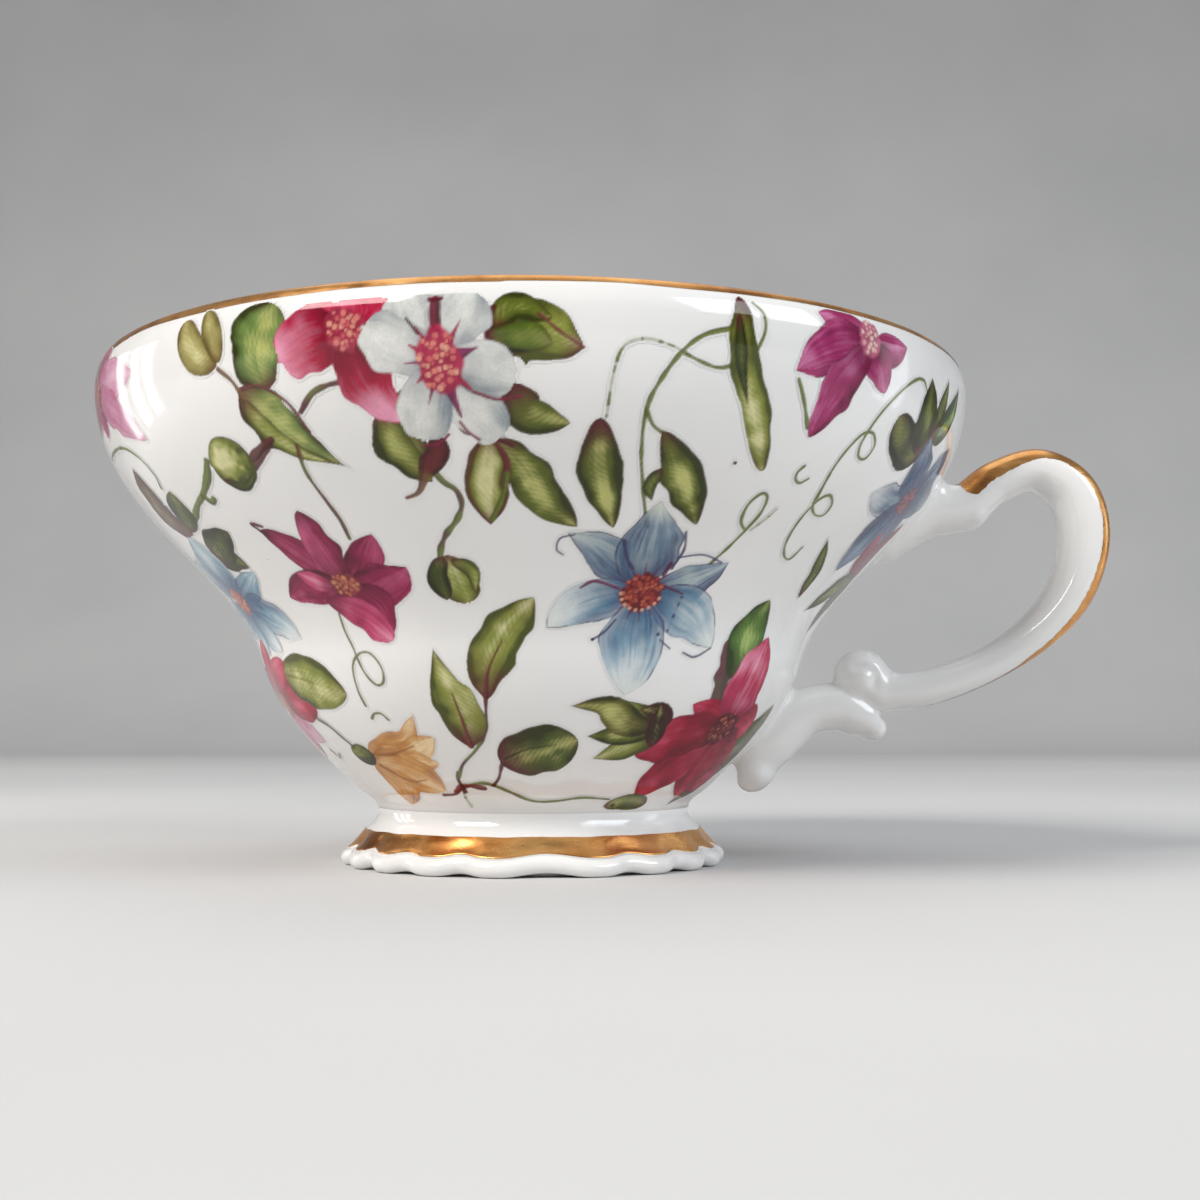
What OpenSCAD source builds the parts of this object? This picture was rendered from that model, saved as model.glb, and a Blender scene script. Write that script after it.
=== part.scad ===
// Footed porcelain teacup with a looped scroll handle, a printed floral band and gilded edges.
// Millimetres. The origin is the middle of the base, +Z is up, and the handle points along +X.

/* [Bowl] */
// Height from the surface it stands on to the top of the lip
cup_h = 56.6; // [55:0.1:58]
// Largest radius of the bowl, just below the lip
bowl_r = 51; // [50:0.1:52]
// Wall thickness in the lower half of the bowl
wall_low = 2.6; // [2:0.1:3.2]
// Wall thickness just below the lip
wall_lip = 1.8; // [1.4:0.1:2.2]

/* [Foot] */
// Height of the foot, up to the narrow neck under the bowl
foot_h = 6.6; // [6:0.1:7]
// Radius of the neck
neck_r = 18.4; // [17.8:0.1:19]
// Radius of the scalloped edge over its lobes
foot_r = 22.6; // [22:0.1:23.2]
// Thickness of the scalloped edge
edge_h = 1.9; // [1.6:0.1:2.2]
// Number of lobes round the edge
lobes = 20; // [16:1:24]

/* [Handle] */
// Width of the handle across its loop
loop_w = 8.6; // [7.6:0.1:9.4]
// Radius of the scroll knob
knob_r = 3; // [2.6:0.1:3.4]

/* [Finish] */
// Thickness given to the gilding and to the printed transfer
film = 0.1; // [0.08:0.01:0.16]
// Thickness of the luting slip in the clay joints
slip = 0.3; // [0.2:0.05:0.4]

/* [Hidden] */
$fn = 144;
porcelain = "#f4f2ee";
gold = "#b8873c";

// The outer wall is two cubic curves, [radius, height], that meet at the waist with one tangent
lip_z = cup_h - 2.6;
waist = [32, 23.9];
lower_curve = [[neck_r, foot_h], [24, 12.3], [29.8, 16.3], waist];
upper_curve = [waist, [34.9, 33.6], [bowl_r, 40.2], [bowl_r, lip_z]];
curve_steps = 14;
bend_end = 1.8;
lip_steps = 5;
floor_z = foot_h + 3.2;
floor_r = 14;

function cubic(c, t) =
    pow(1 - t, 3) * c[0] + 3 * pow(1 - t, 2) * t * c[1] + 3 * (1 - t) * t * t * c[2] + pow(t, 3) * c[3];
function cubic_slope(c, t) =
    3 * pow(1 - t, 2) * (c[1] - c[0]) + 6 * (1 - t) * t * (c[2] - c[1]) + 3 * t * t * (c[3] - c[2]);
function unit(v) = v / norm(v);
function inward(v) = [-v[1], v[0]] / norm(v);
function wall_at(z) = wall_low + (wall_lip - wall_low) * (z - foot_h) / (lip_z - foot_h);

// A point of the outer wall moved sideways into the wall (d > 0) or out of it (d < 0)
function wall_point(c, t, d) = cubic(c, t) + d * inward(cubic_slope(c, t));

// A short bend stands the wall upright where it meets the neck
bend_to = cubic(lower_curve, bend_end / curve_steps);
neck_bend = [[neck_r, foot_h], [neck_r, foot_h + 0.9],
             bend_to - unit(cubic_slope(lower_curve, bend_end / curve_steps)), bend_to];

// Stretch of the outer wall from the neck up to lip_z, moved by d
function outer_wall(d = 0) = concat(
    [for (i = [0:3]) wall_point(neck_bend, i / 4, d)],
    [for (i = [2:curve_steps]) wall_point(lower_curve, i / curve_steps, d)],
    [for (i = [1:curve_steps]) wall_point(upper_curve, i / curve_steps, d)]);

// The inner wall follows the outer one at the wall's thickness, and rounds into a flat floor
function inner_at(c, t) = wall_point(c, t, wall_at(cubic(c, t)[1]));
bend_from = inner_at(lower_curve, 0.45);
bend_slope = unit(cubic_slope(lower_curve, 0.45));
floor_bend = [bend_from, bend_from - 4 * bend_slope, [floor_r + 3, floor_z], [floor_r - 4, floor_z]];
inner_wall = concat(
    [for (i = [0:curve_steps - 1]) inner_at(upper_curve, 1 - i / curve_steps)],
    [for (i = [0:5]) inner_at(lower_curve, 1 - 0.55 * i / 6)],
    [for (i = [0:6]) cubic(floor_bend, i / 6)]);

// The lip is half an ellipse over the wall's top, leaning a little inwards
lip_mid = bowl_r - wall_lip / 2;
function lip_point(a, d = 0) = [lip_mid + (wall_lip / 2 + d) * cos(a) - 0.3 * sin(a),
                                lip_z + (cup_h - lip_z + d) * sin(a)];
lip = [for (i = [1:2 * lip_steps - 1]) lip_point(90 * i / lip_steps)];

module bowl_solid(d = 0) {
    // The bowl filled up to its lip, used to cut the clay joints to the wall
    rotate_extrude() polygon(concat([[0, foot_h]], outer_wall(-d), [[0, lip_z]]));
}

module bowl() {
    color(porcelain) rotate_extrude() polygon(concat(
        [[0, foot_h + slip], [neck_r, foot_h + slip]],
        [for (p = outer_wall()) if (p[1] > foot_h + slip + 0.05) p],
        lip, inner_wall, [[0, floor_z]]));
}

// The foot flares from the neck down to the scalloped edge, and is hollow underneath
hollow_r = neck_r - 3.4;
ring_in = foot_r - 5;
slope_top = [neck_r + 1.2, 4.3];
slope_low = [foot_r - 0.7, edge_h];
neck_curve = [[neck_r, foot_h], [neck_r - 0.1, 5.6], [neck_r + 0.4, 4.9], slope_top];
edge_r = edge_h / 2;
notch_depth = 0.8;
lobe_r = 4;
lobe_turn = -2.3;

module scallop_plan() {
    circle(r = foot_r - notch_depth);
    for (i = [0:lobes - 1])
        rotate(360 / lobes * i + lobe_turn) translate([foot_r - lobe_r, 0]) circle(r = lobe_r, $fn = 48);
}

module foot() {
    profile = concat(
        [[hollow_r, foot_h]],
        [for (i = [0:4]) cubic(neck_curve, i / 4)],
        [slope_low],
        [for (a = [90:-30:-90]) [foot_r - edge_r + edge_r * cos(a), edge_r + edge_r * sin(a)]],
        [[ring_in, 0], [hollow_r + 1.4, 3.4]]);
    color(porcelain) intersection() {
        rotate_extrude() polygon(profile);
        linear_extrude(foot_h + 1) scallop_plan();
    }
}

module foot_luting_slip() {
    color(porcelain) rotate_extrude() polygon([
        [hollow_r, foot_h], [neck_r, foot_h], [neck_r, foot_h + slip], [hollow_r, foot_h + slip]]);
}

// Stations along the handle's loop: [x, z, thickness in the loop's plane, width across it]
loop_path = [
    [41.6, 40.8, 10.4, 7.2], [47, 41.9, 6.8, loop_w - 1.4], [51.6, 42.4, 5.6, loop_w - 1.2],
    [55.4, 45.2, 5.2, loop_w - 0.8], [60.4, 46.7, 5, loop_w - 0.4], [64.6, 44, 5.5, loop_w],
    [65.9, 38.6, 5.7, loop_w], [64.1, 32.2, 5.4, loop_w], [60, 27.3, 4.7, loop_w - 0.4],
    [54, 23.3, 4.2, loop_w - 0.8], [47, 20.7, 4.5, loop_w - 1.2], [40, 19.5, 5.6, loop_w - 1.6]];
// Stations along the lower bracket, from its tip on the bowl's wall to the spur under the knob
bracket_path = [
    [24.9, 9.1, 1.2, 3.6], [25.8, 10.6, 5, 6], [28, 14, 6.4, loop_w - 1.4], [32.2, 17.6, 5.8, loop_w - 1.6],
    [36.8, 18.8, 6, loop_w - 1.8], [40, 17, 4.8, loop_w - 2.2], [41, 14.9, 2, 4]];
knob_at = [39.2, 22.2];
section_sides = 24;
steps_per_station = 4;
roundness = 0.85;

// Smooth curve through the stations (Catmull-Rom), k counted from 0 in whole stations
function station(p, i) = i < 0 ? 2 * p[0] - p[1] : i >= len(p) ? 2 * p[len(p) - 1] - p[len(p) - 2] : p[i];
function through(p, i, t) =
    let (a = station(p, i - 1), b = station(p, i), c = station(p, i + 1), d = station(p, i + 2))
    0.5 * ((2 * b) + (c - a) * t + (2 * a - 5 * b + 4 * c - d) * t * t + (3 * b - a - 3 * c + d) * t * t * t);
function along(p, k) = let (i = min(floor(k), len(p) - 2)) through(p, i, k - i);
function heading(p, k) =
    let (e = 0.02, a = along(p, max(k - e, 0)), b = along(p, min(k + e, len(p) - 1)))
    unit([b[0] - a[0], b[1] - a[1]]);
function soft(v) = sign(v) * pow(abs(v), roundness);

// A point of the section at station k: angle 0 faces out of the loop, 90 faces +Y
function skin(p, k, a, d = 0) =
    let (s = along(p, k), h = heading(p, k), u = (s[2] / 2 + d) * soft(cos(a)))
    [s[0] - h[1] * u, (s[3] / 2 + d) * soft(sin(a)), s[1] + h[0] * u];

// A closed tube swept along a path of stations
module sweep(p) {
    rings = (len(p) - 1) * steps_per_station;
    n = section_sides;
    points = [for (j = [0:rings]) for (i = [0:n - 1]) skin(p, j / steps_per_station, 360 * i / n)];
    sides = [for (j = [0:rings - 1]) for (i = [0:n - 1])
        [j * n + i, j * n + (i + 1) % n, (j + 1) * n + (i + 1) % n, (j + 1) * n + i]];
    polyhedron(points, concat(sides, [[for (i = [n - 1:-1:0]) i], [for (i = [0:n - 1]) rings * n + i]]), 8);
}

module handle_solid() {
    sweep(loop_path);
    sweep(bracket_path);
    translate([knob_at[0], 0, knob_at[1]]) sphere(r = knob_r, $fn = 32);
}

module handle() {
    color(porcelain) difference() {
        handle_solid();
        bowl_solid(slip);
    }
}

module joint_slip(low, high) {
    color(porcelain) intersection() {
        handle_solid();
        difference() {
            bowl_solid(slip);
            bowl_solid();
        }
        translate([0, -loop_w, low]) cube([bowl_r + 2, 2 * loop_w, high - low]);
    }
}

module upper_luting_slip() { joint_slip(30, 50); }

module lower_luting_slip() { joint_slip(foot_h, 26); }

// The printed band runs from one side of the handle round the front and the back to the other
transfer_gap = 14;
transfer_from = foot_h + 1.4;

module floral_transfer() {
    inner = [for (p = outer_wall()) if (p[1] > transfer_from) p];
    outer = [for (p = outer_wall(-film)) if (p[1] > transfer_from) p];
    n = len(outer) - 1;
    color("#c9b8a8") rotate(transfer_gap / 2) rotate_extrude(angle = 360 - transfer_gap)
        polygon(concat(inner, [for (i = [n:-1:0]) outer[i]]));
}

module rim_gilding() {
    inner = [for (i = [0.5:1:2 * lip_steps - 2.5]) lip_point(90 * i / lip_steps)];
    outer = [for (i = [0.5:1:2 * lip_steps - 2.5]) lip_point(90 * i / lip_steps, film)];
    n = len(outer) - 1;
    color(gold) rotate_extrude() polygon(concat(inner, [for (i = [n:-1:0]) outer[i]]));
}

module foot_gilding() {
    across = inward(slope_low - slope_top) * -film;
    color(gold) intersection() {
        rotate_extrude() polygon([slope_top, slope_low, slope_low + across, slope_top + across]);
        linear_extrude(foot_h + 1) scallop_plan();
    }
}

// The gold stripe runs over the outside of the loop, from the upper root to the lower arm
stripe_from = 2;
stripe_to = 9.5;
stripe_half_angle = 60;

module handle_gilding() {
    rings = (stripe_to - stripe_from) * steps_per_station;
    m = stripe_half_angle / (360 / section_sides);
    angles = [for (i = [-m:m]) 360 * i / section_sides];
    n = len(angles);
    loop = 2 * n;
    points = [for (j = [0:rings])
        let (k = stripe_from + j / steps_per_station)
        each concat([for (a = angles) skin(loop_path, k, a)],
                    [for (i = [n - 1:-1:0]) skin(loop_path, k, angles[i], film)])];
    sides = [for (j = [0:rings - 1]) for (i = [0:loop - 1])
        [j * loop + i, j * loop + (i + 1) % loop, (j + 1) * loop + (i + 1) % loop, (j + 1) * loop + i]];
    caps = [[for (i = [loop - 1:-1:0]) i], [for (i = [0:loop - 1]) rings * loop + i]];
    color(gold) polyhedron(points, concat(sides, caps), 8);
}

bowl();
foot();
foot_luting_slip();
handle();
upper_luting_slip();
lower_luting_slip();
floral_transfer();
rim_gilding();
foot_gilding();
handle_gilding();
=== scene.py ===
"""Footed porcelain teacup: a glazed bowl, foot and scroll handle, printed flowers and gilded edges.

Lengths are worked out in millimetres in the CAD frame (origin in the middle of the base, +Z up,
handle along +X) and become metres only when a mesh is made.
"""
import math
import random

import bpy
import numpy as np
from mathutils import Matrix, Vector
from mathutils.bvhtree import BVHTree


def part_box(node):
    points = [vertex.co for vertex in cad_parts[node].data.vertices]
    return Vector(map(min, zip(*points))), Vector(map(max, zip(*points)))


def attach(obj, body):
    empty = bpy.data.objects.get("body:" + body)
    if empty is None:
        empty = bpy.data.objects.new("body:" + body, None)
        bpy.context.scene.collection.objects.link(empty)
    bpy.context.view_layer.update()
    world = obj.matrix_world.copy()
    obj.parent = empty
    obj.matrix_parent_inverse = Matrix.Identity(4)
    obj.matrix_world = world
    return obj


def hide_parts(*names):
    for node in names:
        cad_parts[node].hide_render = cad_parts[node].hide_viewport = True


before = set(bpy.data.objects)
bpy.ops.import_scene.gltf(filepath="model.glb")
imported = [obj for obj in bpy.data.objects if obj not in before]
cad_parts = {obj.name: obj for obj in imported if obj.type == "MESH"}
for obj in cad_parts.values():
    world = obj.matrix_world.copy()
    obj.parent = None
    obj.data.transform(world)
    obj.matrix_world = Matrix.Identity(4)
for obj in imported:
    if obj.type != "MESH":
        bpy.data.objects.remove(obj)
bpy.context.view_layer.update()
MM = 0.001


def cad_size(node, corner, axis):
    """One coordinate of a CAD node's box, in millimetres."""
    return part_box(node)[corner][axis] / MM


# ---------------------------------------------------------------- shape of the cup, in millimetres

HIGH = 1  # a box's upper corner
X, Y, Z = 0, 1, 2
CUP_H = cad_size("bowl", HIGH, Z)
BOWL_R = cad_size("bowl", HIGH, X)
FOOT_H = cad_size("foot", HIGH, Z)
FOOT_R = cad_size("foot", HIGH, Y)
NECK_R = cad_size("foot_luting_slip", HIGH, X)
LIP_Z = CUP_H - 2.6  # where the outer wall starts to round over
LIP_LENGTH = 4.2  # outside of the lip, from LIP_Z up to its top
EDGE_H = 1.9  # thickness of the foot's scalloped edge
LOBES = 20  # scallops round the foot
LOBE_TURN = math.radians(-2.3)
FLOOR_Z = FOOT_H + 3.2  # inside floor of the bowl
WALL_LOW = 2.6  # wall thickness over the foot
WALL_LIP = 1.8  # wall thickness at the lip
LIFT = 0.04  # how far print and gold stand off the glaze


def cubic(c, t):
    """Points of a cubic Bezier curve at the parameters t."""
    c = np.asarray(c, float)
    t = np.asarray(t, float)[..., None]
    return (1 - t) ** 3 * c[0] + 3 * (1 - t) ** 2 * t * c[1] + 3 * (1 - t) * t * t * c[2] + t ** 3 * c[3]


def smoothstep(a, b, x):
    """0 below a, 1 above b, and a smooth rise between."""
    t = np.clip((np.asarray(x, float) - a) / (b - a), 0, 1)
    return t * t * (3 - 2 * t)


def bell(x, width):
    """1 at x = 0, falling away smoothly over the width."""
    return np.exp(-(np.asarray(x, float) / width) ** 2)


def build_wall():
    """Dense table of the bowl's outer wall: arc length from the neck, radius and height."""
    waist = (32, 23.9)
    lower = cubic([(NECK_R, FOOT_H), (24, 12.3), (29.8, 16.3), waist], np.linspace(0.129, 1, 300))
    slope = (lower[1] - lower[0]) / np.hypot(*(lower[1] - lower[0]))
    bend = cubic([(NECK_R, FOOT_H), (NECK_R, FOOT_H + 0.9), lower[0] - slope, lower[0]],
                 np.linspace(0, 1, 40))
    upper = cubic([waist, (34.9, 33.6), (BOWL_R, 40.2), (BOWL_R, LIP_Z)], np.linspace(0, 1, 500))
    points = np.vstack([bend[:-1], lower, upper[1:]])
    steps = np.hypot(*np.diff(points, axis=0).T)
    return np.concatenate([[0], np.cumsum(steps)]), points[:, 0], points[:, 1]


WALL_S, WALL_R, WALL_Z = build_wall()
WALL_LENGTH = WALL_S[-1]


def lip_point(angle, out=0.0):
    """Radius and height on the rounded lip: angle 0 is the outer wall, pi the inner one."""
    half = WALL_LIP / 2
    r = BOWL_R - half + (half + out) * np.cos(angle) - 0.3 * np.sin(angle)
    z = LIP_Z + (CUP_H - LIP_Z + out) * np.sin(angle)
    return r, z


def wall_at(s, out=0.0):
    """Radius and height on the outer wall at arc length s, moved off it by out."""
    s = np.asarray(s, float)
    (r, z), (next_r, next_z), (last_r, last_z) = [
        (np.interp(at, WALL_S, WALL_R), np.interp(at, WALL_S, WALL_Z)) for at in (s, s + 0.2, s - 0.2)]
    dr, dz = next_r - last_r, next_z - last_z
    n = np.maximum(np.hypot(dr, dz), 1e-9)
    r, z = r + out * dz / n, z - out * dr / n
    over = np.clip((s - WALL_LENGTH) / LIP_LENGTH * math.pi / 2, 0, math.pi / 2)
    lip_r, lip_z = lip_point(over, out)
    on_lip = s > WALL_LENGTH
    return np.where(on_lip, lip_r, r), np.where(on_lip, lip_z, z)


def radius_at_height(z):
    """Radius of the bowl's outer wall at height z."""
    return np.interp(z, WALL_Z, WALL_R)


def around(theta, r, z):
    """3-D points from an angle (0 is the viewer's side, +90 degrees the handle), radius and height."""
    return np.stack([r * np.sin(theta), -r * np.cos(theta), z], -1)


# ---------------------------------------------------------------- meshes

def add_object(name, data):
    """A new object in the scene."""
    thing = bpy.data.objects.new(name, data)
    bpy.context.scene.collection.objects.link(thing)
    return thing


def new_mesh(name, points, faces, material):
    """A smooth mesh from points in metres."""
    mesh = bpy.data.meshes.new(name)
    mesh.from_pydata(points, [], faces)
    mesh.polygons.foreach_set("use_smooth", [True] * len(mesh.polygons))
    mesh.materials.append(material)
    return mesh


def add_piece(name, points, faces, material, uv, stands_for, colour=None):
    """A named piece from points in millimetres, riding on the cup's one body."""
    mesh = new_mesh(name, (np.asarray(points) * MM).tolist(), faces, material)
    loops = np.zeros(len(mesh.loops), np.int32)
    mesh.loops.foreach_get("vertex_index", loops)
    layer = mesh.uv_layers.new(name="UVMap")
    layer.data.foreach_set("uv", np.asarray(uv)[loops].astype(np.float32).ravel())
    if colour is not None:
        layer = mesh.color_attributes.new("paint", "FLOAT_COLOR", "POINT")
        layer.data.foreach_set("color", np.asarray(colour, np.float32).ravel())
    mesh.update()
    piece = add_object(name, mesh)
    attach(piece, "root")
    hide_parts(*stands_for)
    return piece


def grid_faces(rows, columns, wrap=False):
    """Quads over a grid of points numbered row by row; wrap joins each row's ends."""
    faces = []
    for i in range(rows - 1):
        low, high = i * columns, (i + 1) * columns
        for j in range(columns if wrap else columns - 1):
            k = (j + 1) % columns
            faces.append((low + j, low + k, high + k, high + j))
    return faces


def turn(columns):
    """Angles of evenly spaced columns round the axis, as one row."""
    return np.linspace(0, 2 * math.pi, columns, endpoint=False)[None, :]


def add_ring(name, r, z, along, material, stands_for, slot):
    """A piece that goes all round the axis: rows of radius and height, and each row's place along it."""
    theta = turn(r.shape[1])
    uv = np.stack(np.broadcast_arrays(theta / (2 * math.pi), along), -1)
    add_piece(name, around(theta, r, z).reshape(-1, 3), grid_faces(*r.shape, wrap=True), material,
              uv.reshape(-1, 2), stands_for)


def curve_through(stations, k):
    """Catmull-Rom curve through rows of numbers, at positions k counted in whole stations."""
    p = np.asarray(stations, float)
    p = np.vstack([2 * p[0] - p[1], p, 2 * p[-1] - p[-2]])
    k = np.clip(np.asarray(k, float), 0, len(stations) - 1)
    i = np.minimum(k.astype(int), len(stations) - 2)
    t = (k - i)[..., None]
    a, b, c, d = p[i], p[i + 1], p[i + 2], p[i + 3]
    return 0.5 * (2 * b + (c - a) * t + (2 * a - 5 * b + 4 * c - d) * t ** 2
                  + (3 * b - a - 3 * c + d) * t ** 3)


# ---------------------------------------------------------------- materials

def set_inputs(node, **values):
    """Sets a node's sockets by name, with underscores for spaces."""
    for key, value in values.items():
        node.inputs[key.replace("_", " ")].default_value = value


class Recipe:
    """A material under construction. Each texture step returns the output that the next one takes."""

    def __init__(self, name):
        self.material = bpy.data.materials.new(name)
        self.material.use_nodes = True
        self.shader = self.material.node_tree.nodes["Principled BSDF"]

    def add(self, kind, **values):
        """A new node with some of its sockets set."""
        node = self.material.node_tree.nodes.new("ShaderNode" + kind)
        set_inputs(node, **values)
        return node

    def link(self, source, node, *sockets):
        """Feeds an output into a node's sockets."""
        for socket in sockets:
            self.material.node_tree.links.new(source, node.inputs[socket])

    def noise(self, scale, detail, stretch=None):
        """Noise in object space; stretch scales the three axes before it."""
        source = self.add("TexCoord").outputs["Object"]
        if stretch:
            mapping = self.add("Mapping", Scale=stretch)
            self.link(source, mapping, "Vector")
            source = mapping.outputs["Vector"]
        noise = self.add("TexNoise", Scale=scale, Detail=detail)
        self.link(source, noise, "Vector")
        return noise.outputs["Fac"]

    def ramp(self, value, *stops):
        """A colour that follows a value through (position, (r, g, b)) stops."""
        ramp = self.add("ValToRGB")
        while len(ramp.color_ramp.elements) < len(stops):
            ramp.color_ramp.elements.new(0.5)
        for element, (position, colour) in zip(ramp.color_ramp.elements, stops):
            element.position = position
            element.color = (*colour, 1)
        self.link(value, ramp, "Fac")
        return ramp.outputs["Color"]

    def greys(self, value, *stops):
        """A ramp through (position, brightness) stops."""
        return self.ramp(value, *[(position, (grey,) * 3) for position, grey in stops])

    def blend(self, factor, a, b, kind="MIX"):
        """Colour b over colour a; each of the three is a plain value or another step's output."""
        node = self.add("Mix")
        node.data_type, node.blend_type = "RGBA", kind
        for socket, value in (("Factor", factor), ("A", a), ("B", b)):
            if isinstance(value, bpy.types.NodeSocket):
                self.link(value, node, socket)
            else:
                node.inputs[socket].default_value = value
        return node.outputs["Result"]

    def bump(self, height, strength, distance, onto=None):
        """A bumped normal, stacked on an earlier one when onto is given."""
        bump = self.add("Bump", Strength=strength, Distance=distance)
        self.link(height, bump, "Height")
        if onto:
            self.link(onto, bump, "Normal")
        return bump.outputs["Normal"]


def glazed_porcelain(name):
    """White porcelain under clear glaze: faint cloudiness in the body and ripples in the glaze."""
    recipe = Recipe(name)
    cloud = recipe.noise(45, 4)
    clay = recipe.ramp(cloud, (0.3, (0.80, 0.79, 0.77)), (0.65, (0.86, 0.85, 0.835)))
    specks = recipe.greys(recipe.noise(900, 2), (0.79, 0), (0.83, 1))
    body = recipe.blend(specks, clay, (0.42, 0.36, 0.30, 1))
    recipe.link(body, recipe.shader, "Base Color")
    wave, peel = recipe.noise(70, 2), recipe.noise(420, 2)
    bump = recipe.bump(peel, 0.10, 0.00006, onto=recipe.bump(wave, 0.35, 0.0004))
    recipe.link(bump, recipe.shader, "Normal", "Coat Normal")
    recipe.link(recipe.greys(cloud, (0.3, 0.07), (0.7, 0.12)), recipe.shader, "Roughness")
    set_inputs(recipe.shader, IOR=1.5, Coat_Weight=0.25, Coat_Roughness=0.03)
    return recipe, body


def printed_enamel(name):
    """The same glaze over painted colours: the print fades into bare porcelain where it is thin."""
    recipe, body = glazed_porcelain(name)
    paint = recipe.add("VertexColor")
    paint.layer_name = "paint"
    stipple, mottle = recipe.noise(4200, 2), recipe.noise(900, 4)
    tones = [recipe.greys(stipple, (0.3, 0.90), (0.7, 1.0)), recipe.greys(mottle, (0.3, 0.90), (0.7, 1.04))]
    colour = paint.outputs["Color"]
    for tone in tones:
        colour = recipe.blend(1, colour, tone, "MULTIPLY")
    recipe.link(recipe.blend(paint.outputs["Alpha"], body, colour), recipe.shader, "Base Color")
    set_inputs(recipe.shader, Specular_IOR_Level=0.3, Coat_Weight=0.1)
    return recipe.material


def bright_gold(name):
    """Fired liquid gold, brushed on by hand: thin and brown in places, with fine brush lines."""
    recipe = Recipe(name)
    patch = recipe.ramp(recipe.noise(160, 5), (0.28, (0.35, 0.135, 0.04)), (0.46, (0.70, 0.325, 0.10)),
                        (0.68, (0.92, 0.51, 0.19)))
    recipe.link(patch, recipe.shader, "Base Color")
    brush = recipe.noise(260, 4, stretch=(1, 1, 5))
    recipe.link(recipe.greys(brush, (0.3, 0.20), (0.75, 0.40)), recipe.shader, "Roughness")
    recipe.link(recipe.bump(brush, 0.25, 0.00006), recipe.shader, "Normal")
    set_inputs(recipe.shader, Metallic=0.92)
    return recipe.material


# ---------------------------------------------------------------- bowl and foot

PORCELAIN = glazed_porcelain("porcelain_glaze")[0].material
ENAMEL = printed_enamel("printed_enamel")
GOLD = bright_gold("bright_gold")
BOWL_COLUMNS = 360
FOOT_COLUMNS = 720
SMOOTH_ROUNDS = 14
AXIS_GAP = 0.02  # radius of the pinhole that keeps the faces at the axis from closing up


def inner_wall():
    """The bowl's inside, from the lip down to the middle of the floor."""
    wall_end = 8.5  # distance up the wall at which the inside bends away from it
    floor_bend, floor_flat = 15, 9  # radii between which it levels out to the flat floor
    s = np.linspace(WALL_LENGTH, wall_end, 90)
    height = wall_at(s)[1]
    thick = WALL_LOW + (WALL_LIP - WALL_LOW) * (height - FOOT_H) / (LIP_Z - FOOT_H)
    r, z = wall_at(s, -1.0)
    outer_r, outer_z = wall_at(s)
    side = np.stack([outer_r + (r - outer_r) * thick, outer_z + (z - outer_z) * thick], -1)
    for _ in range(SMOOTH_ROUNDS):
        side[1:-1] = (side[:-2] + 2 * side[1:-1] + side[2:]) / 4
    end, slope = side[-1], side[-1] - side[-2]
    slope = slope / np.hypot(*slope)
    bend = cubic([end, end + 5 * slope, (floor_bend, FLOOR_Z), (floor_flat, FLOOR_Z)],
                 np.linspace(0, 1, 26))
    level = np.stack([np.linspace(floor_flat, AXIS_GAP, 8), np.full(8, FLOOR_Z)], -1)
    return np.vstack([side, bend[1:], level[1:]])


def build_bowl():
    """The cast bowl: outside, rounded lip, inside and underside as one closed surface."""
    arch = 0.5 * bell(np.linspace(0, 1, 12), 0.6)
    under = np.stack([np.linspace(AXIS_GAP, NECK_R, 12), FOOT_H + arch], -1)
    outside = np.stack(wall_at(np.linspace(0, WALL_LENGTH, 130)), -1)
    lip = np.stack(lip_point(np.linspace(0, math.pi, 19)[1:-1]), -1)
    outline = np.vstack([under[:-1], outside, lip, inner_wall()])
    length = np.concatenate([[0], np.cumsum(np.hypot(*np.diff(outline, axis=0).T))])
    r, z = [np.repeat(outline[:, i:i + 1], BOWL_COLUMNS, 1) for i in range(2)]
    add_ring("bowl_porcelain", r, z, length[:, None] / 100, PORCELAIN, ["bowl"], "porcelain")


def notch(theta):
    """How deep the scalloped edge is cut at each angle: 0 on a lobe's middle, 1 between two lobes."""
    turned = np.degrees(np.angle(np.exp(1j * theta)))
    wander = np.radians(-7.6 * np.tanh((turned - 6.6) / 14) * (1 - smoothstep(35, 125, np.abs(turned)))
                        + 2.2 * np.sin(2 * theta + 0.4) * smoothstep(70, 130, np.abs(turned)))
    wave = 0.5 - 0.5 * np.cos(LOBES * (theta - math.pi / 2 + wander - LOBE_TURN))
    depth = 1 + 0.2 * np.sin(5 * theta + 1)
    return wave ** 1.5 * depth


SLOPE_TOP = (NECK_R + 1.2, 4.3)
SLOPE_LOW = (FOOT_R - 0.75, EDGE_H + 0.1)


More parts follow.
